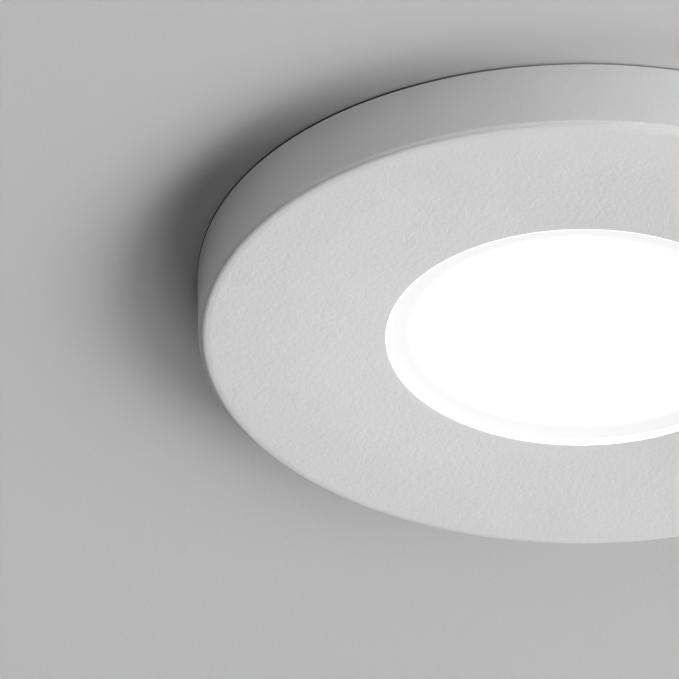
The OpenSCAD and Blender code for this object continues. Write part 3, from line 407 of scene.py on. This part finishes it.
# %% [markdown]
# ## From numbers to a mesh
# Every new piece is a sheet of points worked out with numpy. Neighbouring points make four-sided faces by
# arithmetic on their numbers, so no loop visits single points. Then Blender merges what meets, such as the
# seam and the poles, turns the faces outwards, and shades smooth except over sharp edges.


# %% A mesh from a grid of points
def grid_faces(rows, columns, closed_rows=False, closed_columns=False):
    """Faces of a rows x columns grid of points, as an array of four point numbers each. A closed direction
    joins its last line to its first."""
    i = np.arange(rows if closed_rows else rows - 1)[:, None]
    j = np.arange(columns if closed_columns else columns - 1)[None, :]
    i2, j2 = (i + 1) % rows, (j + 1) % columns
    corners = np.broadcast_arrays(i * columns + j, i2 * columns + j, i2 * columns + j2, i * columns + j2)
    return np.stack(corners, -1).reshape(-1, 4)


def make_piece(name, parts, slot, body="root", stands_for=(), sharp=35.0, merge=1e-6):
    """One object from a list of (points in mm, faces). It rides on body, if one is given, and stands for the
    CAD nodes in stands_for. Edges over sharp degrees stay crisp. Points within merge metres are joined."""
    start, points, faces = 0, [], []
    for part_points, part_faces in parts:
        points.append(np.asarray(part_points, float).reshape(-1, 3))
        faces.extend([int(corner) + start for corner in face] for face in part_faces)
        start += len(points[-1])
    mesh = bpy.data.meshes.new(name)
    mesh.from_pydata(np.concatenate(points) * MM, [], faces)
    work = bmesh.new()
    work.from_mesh(mesh)
    bmesh.ops.remove_doubles(work, verts=work.verts, dist=merge)
    bmesh.ops.recalc_face_normals(work, faces=work.faces)
    open_edges = sum(1 for e in work.edges if not e.is_manifold)
    work.to_mesh(mesh)
    work.free()
    mesh.polygons.foreach_set("use_smooth", np.ones(len(mesh.polygons), bool))
    mesh.set_sharp_from_angle(angle=math.radians(sharp))
    mesh.materials.append(finishes[slot])
    piece = bpy.data.objects.new(name, mesh)
    scene.collection.objects.link(piece)
    if body:
        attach(piece, body)
    if stands_for:
        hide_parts(*stands_for)
    print(name, "faces", len(mesh.polygons), "open edges", open_edges)
    return piece


# %% [markdown]
# ## Turned shapes
# The trim ring, gasket, window, seals and bosses are all turned: an outline in the plane of radius and height
# is carried round the axis. Real edges are never knife sharp, so each corner of the outline has its own small
# radius, and the corner is swapped for an arc that touches both sides.


# %% Rounded outlines and turning
def rounded(corners, steps=4):
    """Outline in mm with each corner (x, y, r) replaced by an arc of radius r. The arc's centre lies on the
    line that halves the corner, r / sin(half) from it, and its ends are r / tan(half) along the sides, where
    half is half the corner's angle."""
    c = np.asarray(corners, float)
    p, r = c[:, :2], c[:, 2:3]
    back, on = np.roll(p, 1, 0) - p, np.roll(p, -1, 0) - p
    back /= np.linalg.norm(back, axis=1, keepdims=True)
    on /= np.linalg.norm(on, axis=1, keepdims=True)
    half = 0.5 * np.arccos(np.clip((back * on).sum(1, keepdims=True), -1, 1))
    middle = (back + on) / np.linalg.norm(back + on, axis=1, keepdims=True)
    centre = p + middle * r / np.sin(half)
    u, v = p + back * r / np.tan(half) - centre, p + on * r / np.tan(half) - centre
    sweep = (math.pi - 2 * half)[:, None, :]
    t = np.linspace(0, 1, steps + 1)[None, :, None]
    arc = (np.sin((1 - t) * sweep) * u[:, None] + np.sin(t * sweep) * v[:, None]) / np.sin(sweep)
    return (centre[:, None] + arc).reshape(-1, 2)


def turned(outline, turns=96, closed=True, at=(0.0, 0.0, 0.0)):
    """An outline of (radius, height) in mm carried round Z: x = r cos a, y = r sin a, z = height."""
    a = np.linspace(0, 2 * math.pi, turns, endpoint=False)[:, None]
    r, z = np.asarray(outline, float).T
    points = np.stack(np.broadcast_arrays(r * np.cos(a), r * np.sin(a), z), -1) + np.asarray(at)
    return points.reshape(-1, 3), grid_faces(turns, len(r), closed_rows=True, closed_columns=closed)


def turned_about(points, faces, angle):
    """A copy of a shape, turned by angle degrees about Z."""
    turn = np.array(Matrix.Rotation(math.radians(angle), 3, "Z"))
    return points @ turn.T, faces


# %% [markdown]
# ## The trim ring
# On the real light this is one aluminium casting: a front plate, an outer wall with a little draft, a groove
# for the gasket, and a collar that goes up through the hole in the ceiling. It could be cut from cylinders,
# but every edge would be sharp. As one turned outline, the small step and the soft arc that lead to the
# front, and the radii at the rim, the window and the collar, all come from the same rule.

# %% Trim ring
front_and_wall = [(23.02, -8.65, 0.05), (43.55, -8.65, 4.0), (44.2, -8.58, 0.9), (44.46, -8.44, 0.1),
                  (44.5, -8.32, 0.06), (44.88, -8.03, 0.06), (45.0, -0.25, 0.2)]
gasket_groove = [(42.5, -0.25, 0.2), (42.5, -3.25, 0.15), (40.0, -3.25, 0.15), (40.0, -0.25, 0.2)]
hollow_back = [(38.5, -0.25, 0.25), (38.5, -6.45, 0.5), (36.6, -6.45, 0.5), (36.6, -0.25, 0.25)]
collar = [(36.0, -0.25, 0.1), (36.0, 8.0, 0.35), (35.08, 8.0, 0.12), (35.08, 6.9, 0.12), (33.32, 6.9, 0.12),
          (33.32, 8.0, 0.12), (32.4, 8.0, 0.3), (32.4, -6.45, 0.6)]
window_seat = [(26.32, -6.45, 0.3), (26.32, -4.15, 0.15), (25.62, -4.15, 0.15), (25.62, -6.45, 0.1),
               (22.94, -6.45, 0.15), (22.94, -7.75, 0.1)]
trim_section = rounded(front_and_wall + gasket_groove + hollow_back + collar + window_seat, steps=6)
make_piece("trim_ring", [turned(trim_section, 320)], "powder_coated_trim", stands_for=["bezel"])

# %% [markdown]
# Twelve ribs stiffen the ring's back, and three bosses inside the collar take the screws from the heat sink.
# A rib is a flat outline pushed along its thickness; pulling the outline in a little at both ends rounds its
# edges. Both are copied round the axis with a rotation.


# %% Pushing an outline into a solid with rounded rims
def pushed(outline, low, high, edge=0.2, steps=3):
    """An outline (x, y) in mm pushed from z = low to high. At both ends it is pulled in along its own normals
    by edge (1 - sin a) while z moves by edge (1 - cos a), which rounds the rim, and closed by a flat face."""
    p = np.asarray(outline, float)
    tangent = np.roll(p, -1, 0) - np.roll(p, 1, 0)
    tangent /= np.linalg.norm(tangent, axis=1, keepdims=True)
    outward = np.stack([tangent[:, 1], -tangent[:, 0]], 1)
    area = 0.5 * np.sum(p[:, 0] * np.roll(p[:, 1], -1) - np.roll(p[:, 0], -1) * p[:, 1])
    outward *= np.sign(area)
    a = np.linspace(0, math.pi / 2, steps + 1)
    pull = edge * (1 - np.sin(a))
    rise = edge * (1 - np.cos(a))
    pull, z = np.r_[pull, pull[::-1]], np.r_[low + rise, high - rise[::-1]]
    rings = p[None] - outward[None] * pull[:, None, None]
    points = np.concatenate([rings, np.broadcast_to(z[:, None, None], (len(z), len(p), 1))], 2).reshape(-1, 3)
    sides = grid_faces(len(z), len(p), closed_columns=True).tolist()
    first = list(range(len(p)))[::-1]
    last = [(len(z) - 1) * len(p) + i for i in range(len(p))]
    return points, sides + [first, last]


def laid(shape, columns, at=(0.0, 0.0, 0.0)):
    """A shape with its x, y and z axes laid along the three directions in columns, then moved to at."""
    points, faces = shape
    return points @ np.array(columns, float) + np.asarray(at), faces


# %% Ribs and bosses behind the trim ring
rib_outline = rounded([(35.8, -6.6, 0.1), (39.2, -6.6, 0.1), (39.2, -1.25, 0.35), (35.8, -1.25, 0.1)], 3)
rib = laid(pushed(rib_outline, -0.6, 0.6, 0.2), [(1, 0, 0), (0, 0, 1), (0, -1, 0)])
ribs = [turned_about(*rib, 15 + 30 * i) for i in range(12)]
make_piece("trim_ribs", ribs, "powder_coated_trim", stands_for=["bezel"])
boss_section = rounded([
    (3.2, -6.5, 0.1), (3.2, 7.98, 0.25), (1.48, 7.98, 0.15), (1.48, 1.0, 0.1), (0.02, 1.0, 0.005),
    (0.02, -6.5, 0.005)], 3)
boss = turned(boss_section, 32, at=(29.8, 0.0, 0.0))
make_piece("trim_bosses", [turned_about(*boss, turn) for turn in (90, 210, 330)], "powder_coated_trim",
           stands_for=["bezel"])

# %% [markdown]
# ## Gasket and window
# The gasket is a foam ring that stands a quarter of a millimetre proud of the trim's rim, so a thin gap stays
# between the light and the ceiling. The gap looks dark partly from real shade and partly from a painted shade
# on the ceiling inside the rim. The window is a shallow acrylic cup: a plug that fills the opening, with a
# thin lip along its edge, and a flange behind the plate.

# %% Gasket and window
gasket_corners = [(40.1, -3.25, 0.2), (42.4, -3.25, 0.2), (42.4, -0.02, 0.35), (40.1, -0.02, 0.35)]
gasket_section = rounded(gasket_corners, 4)
make_piece("foam_gasket", [turned(gasket_section, 240)], "gasket_foam", stands_for=["ceiling_gasket"])
# The first and last corners only give the faces their direction. Points on the axis take their place.
window_front, window_back, arc_steps = -7.75, -6.25, 4
window_corners = rounded([
    (8.0, window_front, 0.01), (22.76, window_front, 0.06), (22.84, -8.6, 0.04), (22.99, -8.6, 0.03),
    (22.88, -5.65, 0.1), (25.5, -5.65, 0.15), (25.5, -4.15, 0.15), (21.27, -4.15, 0.15),
    (21.27, window_back, 0.5), (8.0, window_back, 0.01)], arc_steps)
kept_corners = window_corners[arc_steps + 1:-arc_steps - 1]
window_section = np.concatenate([[(0.0, window_front)], kept_corners, [(0.0, window_back)]])
window = turned(window_section, 192, closed=False)
make_piece("opal_window", [window], "opal_diffuser", stands_for=["diffuser"])

# %% [markdown]
# ## Springs
# A torsion spring sits on each clip's pin: one straight leg leans on the bracket, the wire winds five and a
# bit turns round the pin, and the other leg presses on the arm. A ready-made spiral has no legs, so the path
# is that rule written out, and a thin tube is swept along it.


# %% A tube along a path
def tube(path, radius, sides=12, cap_steps=3, dome=0.6):
    """Rings of points round a path in mm that never runs along Y. With t the path's direction, a ring lies in
    the directions t x Y and its normal. The ends are closed by rings that shrink as a flat dome does."""
    path = np.asarray(path, float)
    t = np.gradient(path, axis=0)
    t /= np.linalg.norm(t, axis=1, keepdims=True)
    a = np.linspace(0, math.pi / 2, cap_steps + 1)[1:]
    reach, shrink = dome * radius * np.sin(a), radius * np.cos(a)
    start = path[0] - t[0] * reach[::-1, None]
    end = path[-1] + t[-1] * reach[:, None]
    centre = np.concatenate([start, path, end])
    heading = np.concatenate([np.repeat(t[:1], cap_steps, 0), t, np.repeat(t[-1:], cap_steps, 0)])
    size = np.concatenate([shrink[::-1], np.full(len(path), radius), shrink])
    side = np.cross(heading, [0.0, 1.0, 0.0])
    side /= np.linalg.norm(side, axis=1, keepdims=True)
    up_side = np.cross(side, heading)
    k = np.linspace(0, 2 * math.pi, sides, endpoint=False)
    ring = np.cos(k)[None, :, None] * side[:, None] + np.sin(k)[None, :, None] * up_side[:, None]
    points = centre[:, None] + ring * size[:, None, None]
    return points.reshape(-1, 3), grid_faces(len(centre), sides, closed_columns=True)


# %% Two wound springs
pin_x, pin_z, arm_slope = 30.6, 18.2, math.radians(18)
coil_r, wire_r, coil_half, coil_sweep = 2.05, 0.45, 3.51, math.radians(1872)
wall_leg_rise, wall_leg_lean, arm_leg_reach, arm_leg_drop = 7.0, 0.35, 12.0, 0.45
turn = math.pi + np.linspace(0, coil_sweep, 140)
pin_wise = np.linspace(-coil_half, coil_half, len(turn))
coil_path = np.stack([coil_r * np.cos(turn), pin_wise, coil_r * np.sin(turn)], 1)
from_end = np.linspace(1, 0, 9)[:-1, None]
wall_leg = [-coil_r, -coil_half, 0.0] + from_end * [-wall_leg_lean, 0.0, wall_leg_rise]
to_end = from_end[::-1, 0]
along, below = arm_leg_reach * to_end, -coil_r - arm_leg_drop * to_end
arm_x = along * math.cos(arm_slope) + below * math.sin(arm_slope)
arm_z = below * math.cos(arm_slope) - along * math.sin(arm_slope)
arm_leg = np.stack([arm_x, np.full(len(to_end), coil_half), arm_z], 1)
spring_path = np.concatenate([wall_leg, coil_path, arm_leg])
for side, mirror in {"right": 1, "left": -1}.items():
    points, faces = tube(spring_path, wire_r)
    wire = ((points + [pin_x, 0, pin_z]) * [mirror, 1, 1], faces)
    spring = make_piece("wound_spring_" + side, [wire], "spring_wire", None, ["clip_spring_" + side])
    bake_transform(spring)

# %% [markdown]
# ## Screws
# All the screws are alike: a low round head with a soft cross recess, a threaded shank and a blunt tip. The
# head is a height over a round grid: the crown falls off as an ellipse does, and the recess is pushed in
# where a point is near either arm of the cross. The thread is a wave of the shank's radius whose phase turns
# once a pitch, so it really is a helix.


# %% One screw
def soft_step(value, low, high):
    """0 below low, 1 above high, and 3t^2 - 2t^3 between."""
    t = np.clip((value - low) / (high - low), 0, 1)
    return t * t * (3 - 2 * t)


crown_start, crown_drop, cross_depth, thread_depth = 0.72, 0.42, 0.6, 0.14


def screw(shank_r, head_r, head_h, length, turns=48):
    """A screw in mm with its head's seat on z = 0. Head: z = h (1 - drop (1 - sqrt(1 - q^2))), with q counted
    from the crown's start, less the cross. Shank: r = R - depth (1 - cos(2 pi z / pitch + a)) / 2, fading in
    under the head and out at the tip."""
    a = np.linspace(0, 2 * math.pi, turns, endpoint=False)[:, None]
    rho = np.r_[0.0, np.linspace(0.06, 0.8, 15), np.sin(np.linspace(0.93, math.pi / 2, 6))] * head_r
    q = np.clip((rho / head_r - crown_start) / (1 - crown_start), 0, 1)
    crown = head_h * (1 - crown_drop * (1 - np.sqrt(np.clip(1 - q * q, 0, 1))))
    x, y = rho * np.cos(a), rho * np.sin(a)
    across, out = np.minimum(abs(x), abs(y)), np.maximum(abs(x), abs(y))
    arm = 1 - soft_step(across, 0.11 * head_r, 0.2 * head_r)
    reach = 1 - soft_step(out, 0.42 * head_r, 0.62 * head_r)
    top = np.stack([x, y, crown - cross_depth * head_h * arm * reach], -1)
    pitch, edge, rings = shank_r * 0.62, 0.12, 40
    shank_z = -np.linspace(0.05, length - 0.5, rings)
    z = np.r_[0.25 * head_h, edge, 0.0, 0.0, shank_z, -length + 0.25, -length, -length]
    tip = [0.85 * shank_r, 0.6 * shank_r, 0.0]
    r = np.r_[head_r, head_r, head_r - edge, shank_r, np.full(rings, shank_r), tip]
    fade = soft_step(-z, 0.2, 0.8) * (1 - soft_step(-z, length - 0.8, length - 0.3))
    r = r - thread_depth * fade * (0.5 - 0.5 * np.cos(2 * math.pi * z / pitch + a))
    lower = np.stack([r * np.cos(a), r * np.sin(a), np.broadcast_to(z, r.shape)], -1)
    points = np.concatenate([top, lower], 1)
    return points.reshape(-1, 3), grid_faces(turns, points.shape[1], closed_rows=True)


def on_ring(radius, turns, z):
    """Places on a ring round the axis, given by radius, turns in degrees and height."""
    return [(radius * math.cos(math.radians(t)), radius * math.sin(math.radians(t)), z) for t in turns]


# %% [markdown]
# Each set of screws has a size (shank radius, head radius and head height in mm), a length and its places,
# sorted by the way the heads face. A screw stops wherever it is tight, so the crosses of a set point in
# different directions.

# %% Every set of screws
small, large = (1.2, 2.2, 1.5), (1.45, 2.8, 1.9)
facing = {
    "up": [(1, 0, 0), (0, 1, 0), (0, 0, 1)],
    "down": [(1, 0, 0), (0, -1, 0), (0, 0, -1)],
    "right": [(0, 0, -1), (0, 1, 0), (1, 0, 0)],
    "left": [(0, 0, 1), (0, 1, 0), (-1, 0, 0)],
}
beside_pin = {"right": [(27.7, -4, 28.2), (27.7, 4, 28.2)], "left": [(-27.7, -4, 28.2), (-27.7, 4, 28.2)]}
screw_sets = {
    "board_screws": (small, 4.6, {"down": on_ring(21.2, (30, 150, 270), 6.0)}),
    "bezel_screws": (large, 10.0, {"up": on_ring(29.8, (90, 210, 330), 12.0)}),
    "bracket_screws": (small, 6.0, beside_pin),
    "case_screws": (large, 8.0, {"up": [(18.8, 6, 37.8), (-18.8, 6, 37.8), (0, -20, 37.8)]}),
    "pcb_screws": (small, 6.0, {"up": on_ring(24.5, (58, 122), 44.6)}),
    "cover_screws": (small, 8.0, {"up": on_ring(25.6, (12, 90, 168), 66.0)}),
    "clamp_screws": (small, 7.0, {"up": [(6.6, -14.5, 57.3), (19.4, -14.5, 57.3)]}),
}
cross_turn = 17
for node, (size, length, places) in screw_sets.items():
    seats = [(facing[way], at) for way, spots in places.items() for at in spots]
    one = screw(*size, length)
    shapes = [laid(turned_about(*one, cross_turn * i), *seat) for i, seat in enumerate(seats)]
    make_piece("turned_" + node, shapes, "zinc_screw", stands_for=[node])

# %% [markdown]
# ## Softened edges
# The castings and mouldings are right as solids, but their edges are sharp. Each gets a copy with the flat
# facets joined up and every sharp edge rounded by a bevel modifier. The solid itself stays untouched.


# %% Rounding a copy of a solid
flat_angle, edge_angle = math.radians(0.6), math.radians(30)


def softened(node, name, width, body):
    """A copy of a CAD node, riding on body, with its facets joined and its edges rounded to width mm."""
    mesh = nodes[node].data.copy()
    mesh.name = name
    work = bmesh.new()
    work.from_mesh(mesh)
    bmesh.ops.remove_doubles(work, verts=work.verts, dist=2e-6)
    bmesh.ops.dissolve_limit(work, angle_limit=flat_angle, verts=work.verts, edges=work.edges)
    bmesh.ops.recalc_face_normals(work, faces=work.faces)
    work.to_mesh(mesh)
    work.free()
    mesh.polygons.foreach_set("use_smooth", np.ones(len(mesh.polygons), bool))
    piece = bpy.data.objects.new(name, mesh)
    scene.collection.objects.link(piece)
    bevel = piece.modifiers.new("rounded_edges", "BEVEL")
    bevel.width, bevel.segments, bevel.limit_method = width * MM, 2, "ANGLE"
    bevel.angle_limit = edge_angle
    bevel.use_clamp_overlap = False
    bevel.harden_normals = True
    bevel.miter_outer = "MITER_ARC"
    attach(piece, body)
    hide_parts(node)
    print(name, "faces before rounding", len(mesh.polygons))


# %% Castings, mouldings and clips with soft edges
soft_edges = {
    "heat_sink": (0.22, "root"),
    "driver_case": (0.18, "root"),
    "clip_bracket_left": (0.14, "root"),
    "clip_bracket_right": (0.14, "root"),
    "clip_arm_left": (0.14, "arm_left"),
    "clip_arm_right": (0.14, "arm_right"),
    "clip_sleeve_left": (0.28, "arm_left"),
    "clip_sleeve_right": (0.28, "arm_right"),
    "terminal_block": (0.2, "root"),
    "cord_clamp": (0.25, "root"),
}
for node, (width, body) in soft_edges.items():
    softened(node, "soft_" + node, width, body)

# %% [markdown]
# ## Rubber rings
# The cable gland is an empty rubber grommet: no cable is fitted. The seal in the collar's groove is a plain
# ring. Both are turned.

# %% Cable grommet and collar seal
bore_r, neck_r, lip_r, lip_t = 3.5, 4.55, 5.45, 1.2
lowest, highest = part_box("cable_grommet")
gland_x, gland_z = (lowest[0] + highest[0]) / 2 / MM, (lowest[2] + highest[2]) / 2 / MM
outer_y, inner_y = lowest[1] / MM, highest[1] / MM
span = inner_y - outer_y
outer_lip = [(bore_r, 0, 0.4), (lip_r, 0, 0.5), (lip_r, lip_t, 0.15), (neck_r, lip_t, 0.1)]
inner_lip = [(neck_r, span - lip_t, 0.1), (lip_r, span - lip_t, 0.15), (lip_r, span, 0.5),
             (bore_r, span, 0.4)]
gland_section = rounded(outer_lip + inner_lip, 4)
gland = laid(turned(gland_section, 64), [(1, 0, 0), (0, 0, -1), (0, 1, 0)], (gland_x, outer_y, gland_z))
make_piece("gland", [gland], "black_rubber", stands_for=["cable_grommet"])
seal_section = rounded([(33.35, 6.92, 0.5), (35.05, 6.92, 0.5), (35.05, 7.99, 0.5), (33.35, 7.99, 0.5)], 6)
make_piece("ring_seal", [turned(seal_section, 160)], "black_rubber", stands_for=["collar_seal"])

# %% [markdown]
# ## Where it stands
# The photograph looks up at the ceiling, so the ceiling is the backdrop there. From above, the light is shown
# standing on its face on a pale floor. Both planes are needed at once, and neither may hide or darken the
# other's view. So each plane is solid only for rays that belong to its own side of the ceiling: the length of
# a ray times its slope is the height that it started from, and that height says which side it belongs to.
# The ceiling lies 0.1 mm under z = 0, as if the tightened clips squeeze the foam. Over the trim it is open,
# or the ring's back would be dark from above, but a ray that has bounced once finds it solid, so that no
# light from above leaks onto the ceiling beside the rim. The far floor melts into the pale world.


# %% A plane that is solid for one side only
# Painted shadow: the ceiling inside the rim, seen only through the thin gap, is painted dark, and lighter to
# the right where more light gets in.
painted_gap_shade_tones, painted_gap_shade_ramp = (paint(0.28), paint(0.72)), (-0.022, -0.004)


def one_sided_plane(name, z, size, tone, faces_down, near_is_solid, gap, skin, hole=0.0, fade=(2.0, 2.9)):
    """A matt plane at height z in mm, made see-through from behind. From in front it is solid for the camera
    and for the other rays that started nearer than gap mm to it, or further where near_is_solid is false.
    Inside the radius hole, in mm, it is painted a dark shade that stands for the shadow in the gap under the
    rim, and it is open to light's first rays. This painted shade is lighter to the right, where more light
    gets in. Over the radii in fade, in metres, it melts into the world behind it."""
    half, level = size / 2, z * MM
    deep = -half if faces_down else half
    corners = [(-half, -deep, level), (half, -deep, level), (half, deep, level), (-half, deep, level)]
    mesh = bpy.data.meshes.new(name)
    mesh.from_pydata(corners, [], [(0, 1, 2, 3)])
    plane = bpy.data.objects.new(name, mesh)
    scene.collection.objects.link(plane)
    material = bpy.data.materials.new(name)
    material.use_nodes = True
    tree = material.node_tree
    shader = tree.nodes["Principled BSDF"]
    place = put(tree, "ShaderNodeTexCoord").outputs["Object"]
    grain = put(tree, "ShaderNodeGroup", {"Vector": place}, node_tree=skin_grain)
    grain.inputs["Per metre"].default_value = skin[0]
    flat = put(tree, "ShaderNodeVectorMath", {0: place, 1: (1.0, 1.0, 0.0)}, operation="MULTIPLY").outputs[0]
    out = put(tree, "ShaderNodeVectorMath", {0: flat}, operation="LENGTH").outputs["Value"]
    open_sky = calc(tree, "GREATER_THAN", out, hole * MM)
    sideways = put(tree, "ShaderNodeSeparateXYZ", {0: place}).outputs["X"]
    # Painted shade in the gap, lighter towards +X.
    painted_gap_shade = blend_colours(tree, ramp(tree, sideways, *painted_gap_shade_ramp), *painted_gap_shade_tones)
    tree.links.new(blend_colours(tree, open_sky, painted_gap_shade, paint(tone)), shader.inputs["Base Color"])
    shader.inputs["Roughness"].default_value = 0.85
    shader.inputs["Specular IOR Level"].default_value = 0.2
    rough = {"Height": grain.outputs["Height"], "Distance": skin[1] * MM, "Strength": 1.0}
    tree.links.new(put(tree, "ShaderNodeBump", rough).outputs[0], shader.inputs["Normal"])
    ray = put(tree, "ShaderNodeLightPath").outputs
    behind = put(tree, "ShaderNodeNewGeometry").outputs["Backfacing"]
    slant = put(tree, "ShaderNodeLayerWeight", {"Blend": 0.5}).outputs["Facing"]
    start_height = calc(tree, "MULTIPLY", ray["Ray Length"], calc(tree, "SUBTRACT", 1.0, slant))
    own_side = calc(tree, "LESS_THAN" if near_is_solid else "GREATER_THAN", start_height, gap * MM)
    blocks = calc(tree, "MAXIMUM", open_sky, calc(tree, "GREATER_THAN", ray["Ray Depth"], 1.5))
    seen = calc(tree, "MAXIMUM", ray["Is Camera Ray"], calc(tree, "MULTIPLY", own_side, blocks))
    near = ramp(tree, out, fade[0], fade[1], 1.0, 0.0, smooth=True)
    solid = calc(tree, "MULTIPLY", calc(tree, "MULTIPLY", calc(tree, "SUBTRACT", 1.0, behind), seen), near)
    clear = put(tree, "ShaderNodeBsdfTransparent").outputs[0]
    mix = put(tree, "ShaderNodeMixShader", {0: solid, 1: clear, 2: shader.outputs[0]}).outputs[0]
    tree.links.new(mix, tree.nodes["Material Output"].inputs["Surface"])
    mesh.materials.append(material)
    print(name, "at", z, "mm")


ceiling_z, face_z, floor_gap, plane_size, rim_r = -0.1, -8.65, 0.1, 6.0, 45.0
below_ceiling = ceiling_z - face_z + floor_gap / 2
above_ceiling = -face_z + 1.5 * floor_gap
one_sided_plane("ceiling", ceiling_z, plane_size, 0.713, True, True, below_ceiling, (1500.0, 0.016),
                hole=rim_r)
one_sided_plane("floor", face_z - floor_gap, plane_size, 0.865, False, False, above_ceiling, (900.0, 0.01),
                fade=(0.25, 1.2))

# %% [markdown]
# ## Camera
# The picture has almost no perspective: it was taken from far off with a very long lens. Fitting ellipses to
# the ring's back edge, its opening and its outline gives a camera 33.4 degrees below the ceiling's plane,
# with the near side at the top. The camera stands three metres away, and one millimetre is 8.5 of the
# picture's 679 pixels. The light's axis is right of the picture's middle, so the camera aims left of it.

# %% Camera
picture_px, px_per_m, axis_px = 679, 8542.0, (581.9, 276.6)
elevation, distance = math.radians(33.36), 3.0
forward = Vector((0, math.cos(elevation), math.sin(elevation)))
right = Vector((1, 0, 0))
up = Vector((0, -math.sin(elevation), math.cos(elevation)))
aim = -right * (axis_px[0] - picture_px / 2) / px_per_m + up * (axis_px[1] - picture_px / 2) / px_per_m
camera_data = bpy.data.cameras.new("camera")
camera_data.sensor_width = 36.0
camera_data.lens = camera_data.sensor_width * px_per_m * distance / picture_px
camera_data.clip_start, camera_data.clip_end = 0.1, 20.0
camera = bpy.data.objects.new("camera", camera_data)
camera.matrix_world = Matrix((right, up, -forward)).transposed().to_4x4()
camera.location = aim - forward * distance
scene.collection.objects.link(camera)
scene.camera = camera
print("lens", round(camera_data.lens, 1), "mm, aim in mm", [round(v * 1000, 2) for v in aim])

# %% [markdown]
# ## Light
# Below the ceiling, large soft lamps stand on the right, 25 to 50 degrees under its plane, and two weaker
# ones graze it from the camera's side. Together they leave the broad soft shadow to the left of the ring.
# Their strengths were found by rendering each lamp alone and fitting the sum to the photograph. Above the
# ceiling three more soft lamps light the back. The world adds a weak fill, which the camera sees as a pale
# grey and polished metal mirrors as a darker one.


# %% Lamps and world
def soft_lamp(name, azimuth, height_angle, away, size, strength):
    """A square lamp of size metres that looks at the object's origin from away metres. Its power is strength
    times pi times away squared, so strength alone says how bright a surface that faces it gets. azimuth is
    in degrees from +X, and height_angle is below zero where the lamp is below the ceiling."""
    lamp_data = bpy.data.lights.new(name, "AREA")
    lamp_data.size = size
    lamp_data.energy = strength * math.pi * away ** 2
    a, h = math.radians(azimuth), math.radians(height_angle)
    toward = Vector((math.cos(a) * math.cos(h), math.sin(a) * math.cos(h), math.sin(h)))
    lamp = bpy.data.objects.new(name, lamp_data)
    aimed = toward.to_track_quat("Z", "Y").to_matrix().to_4x4()
    lamp.matrix_world = Matrix.Translation(toward * away) @ aimed
    lamp.visible_camera = False
    scene.collection.objects.link(lamp)


lower_lamps = {
    "right": (0, -36, 2.2, 1.0, 1.42),
    "right_low": (-30, -25, 2.2, 1.0, 1.79),
    "right_steep": (0, -50, 2.2, 1.0, 0.39),
    "right_far_low": (15, -25, 2.2, 1.0, 0.79),
    "right_far": (60, -40, 2.2, 1.3, 1.28),
    "camera_side": (-90, -12, 2.2, 1.0, 0.9),
    "camera_side_left": (-120, -12, 2.2, 1.0, 0.13),
}
upper_lamps = {
    "top": (-60, 75, 1.6, 1.2, 1.35),
    "top_right": (-25, 35, 1.6, 0.9, 1.6),
    "top_back": (150, 40, 1.6, 1.2, 0.8),
}
for name, settings in {**lower_lamps, **upper_lamps}.items():
    soft_lamp(name, *settings)

world = bpy.data.worlds.new("world")
world.use_nodes = True
scene.world = world
sky = world.node_tree
ray = put(sky, "ShaderNodeLightPath").outputs
direction = put(sky, "ShaderNodeTexCoord").outputs["Generated"]
height = put(sky, "ShaderNodeSeparateXYZ", {0: direction}).outputs["Z"]
fill_level, mirror_level, backdrop_level = ramp(sky, height, 0.0, 0.3, 0.08, 0.15), 0.34, 0.79
fill, mirrored, seen = (
    put(sky, "ShaderNodeBackground", {"Color": (1.0, 1.0, 1.0, 1.0), "Strength": level}).outputs[0]
    for level in (fill_level, mirror_level, backdrop_level))
sky_mix = put(sky, "ShaderNodeMixShader", {0: ray["Is Glossy Ray"], 1: fill, 2: mirrored}).outputs[0]
sky_mix = put(sky, "ShaderNodeMixShader", {0: ray["Is Camera Ray"], 1: sky_mix, 2: seen}).outputs[0]
sky.links.new(sky_mix, sky.nodes["World Output"].inputs["Surface"])
scene.view_settings.view_transform = "Standard"
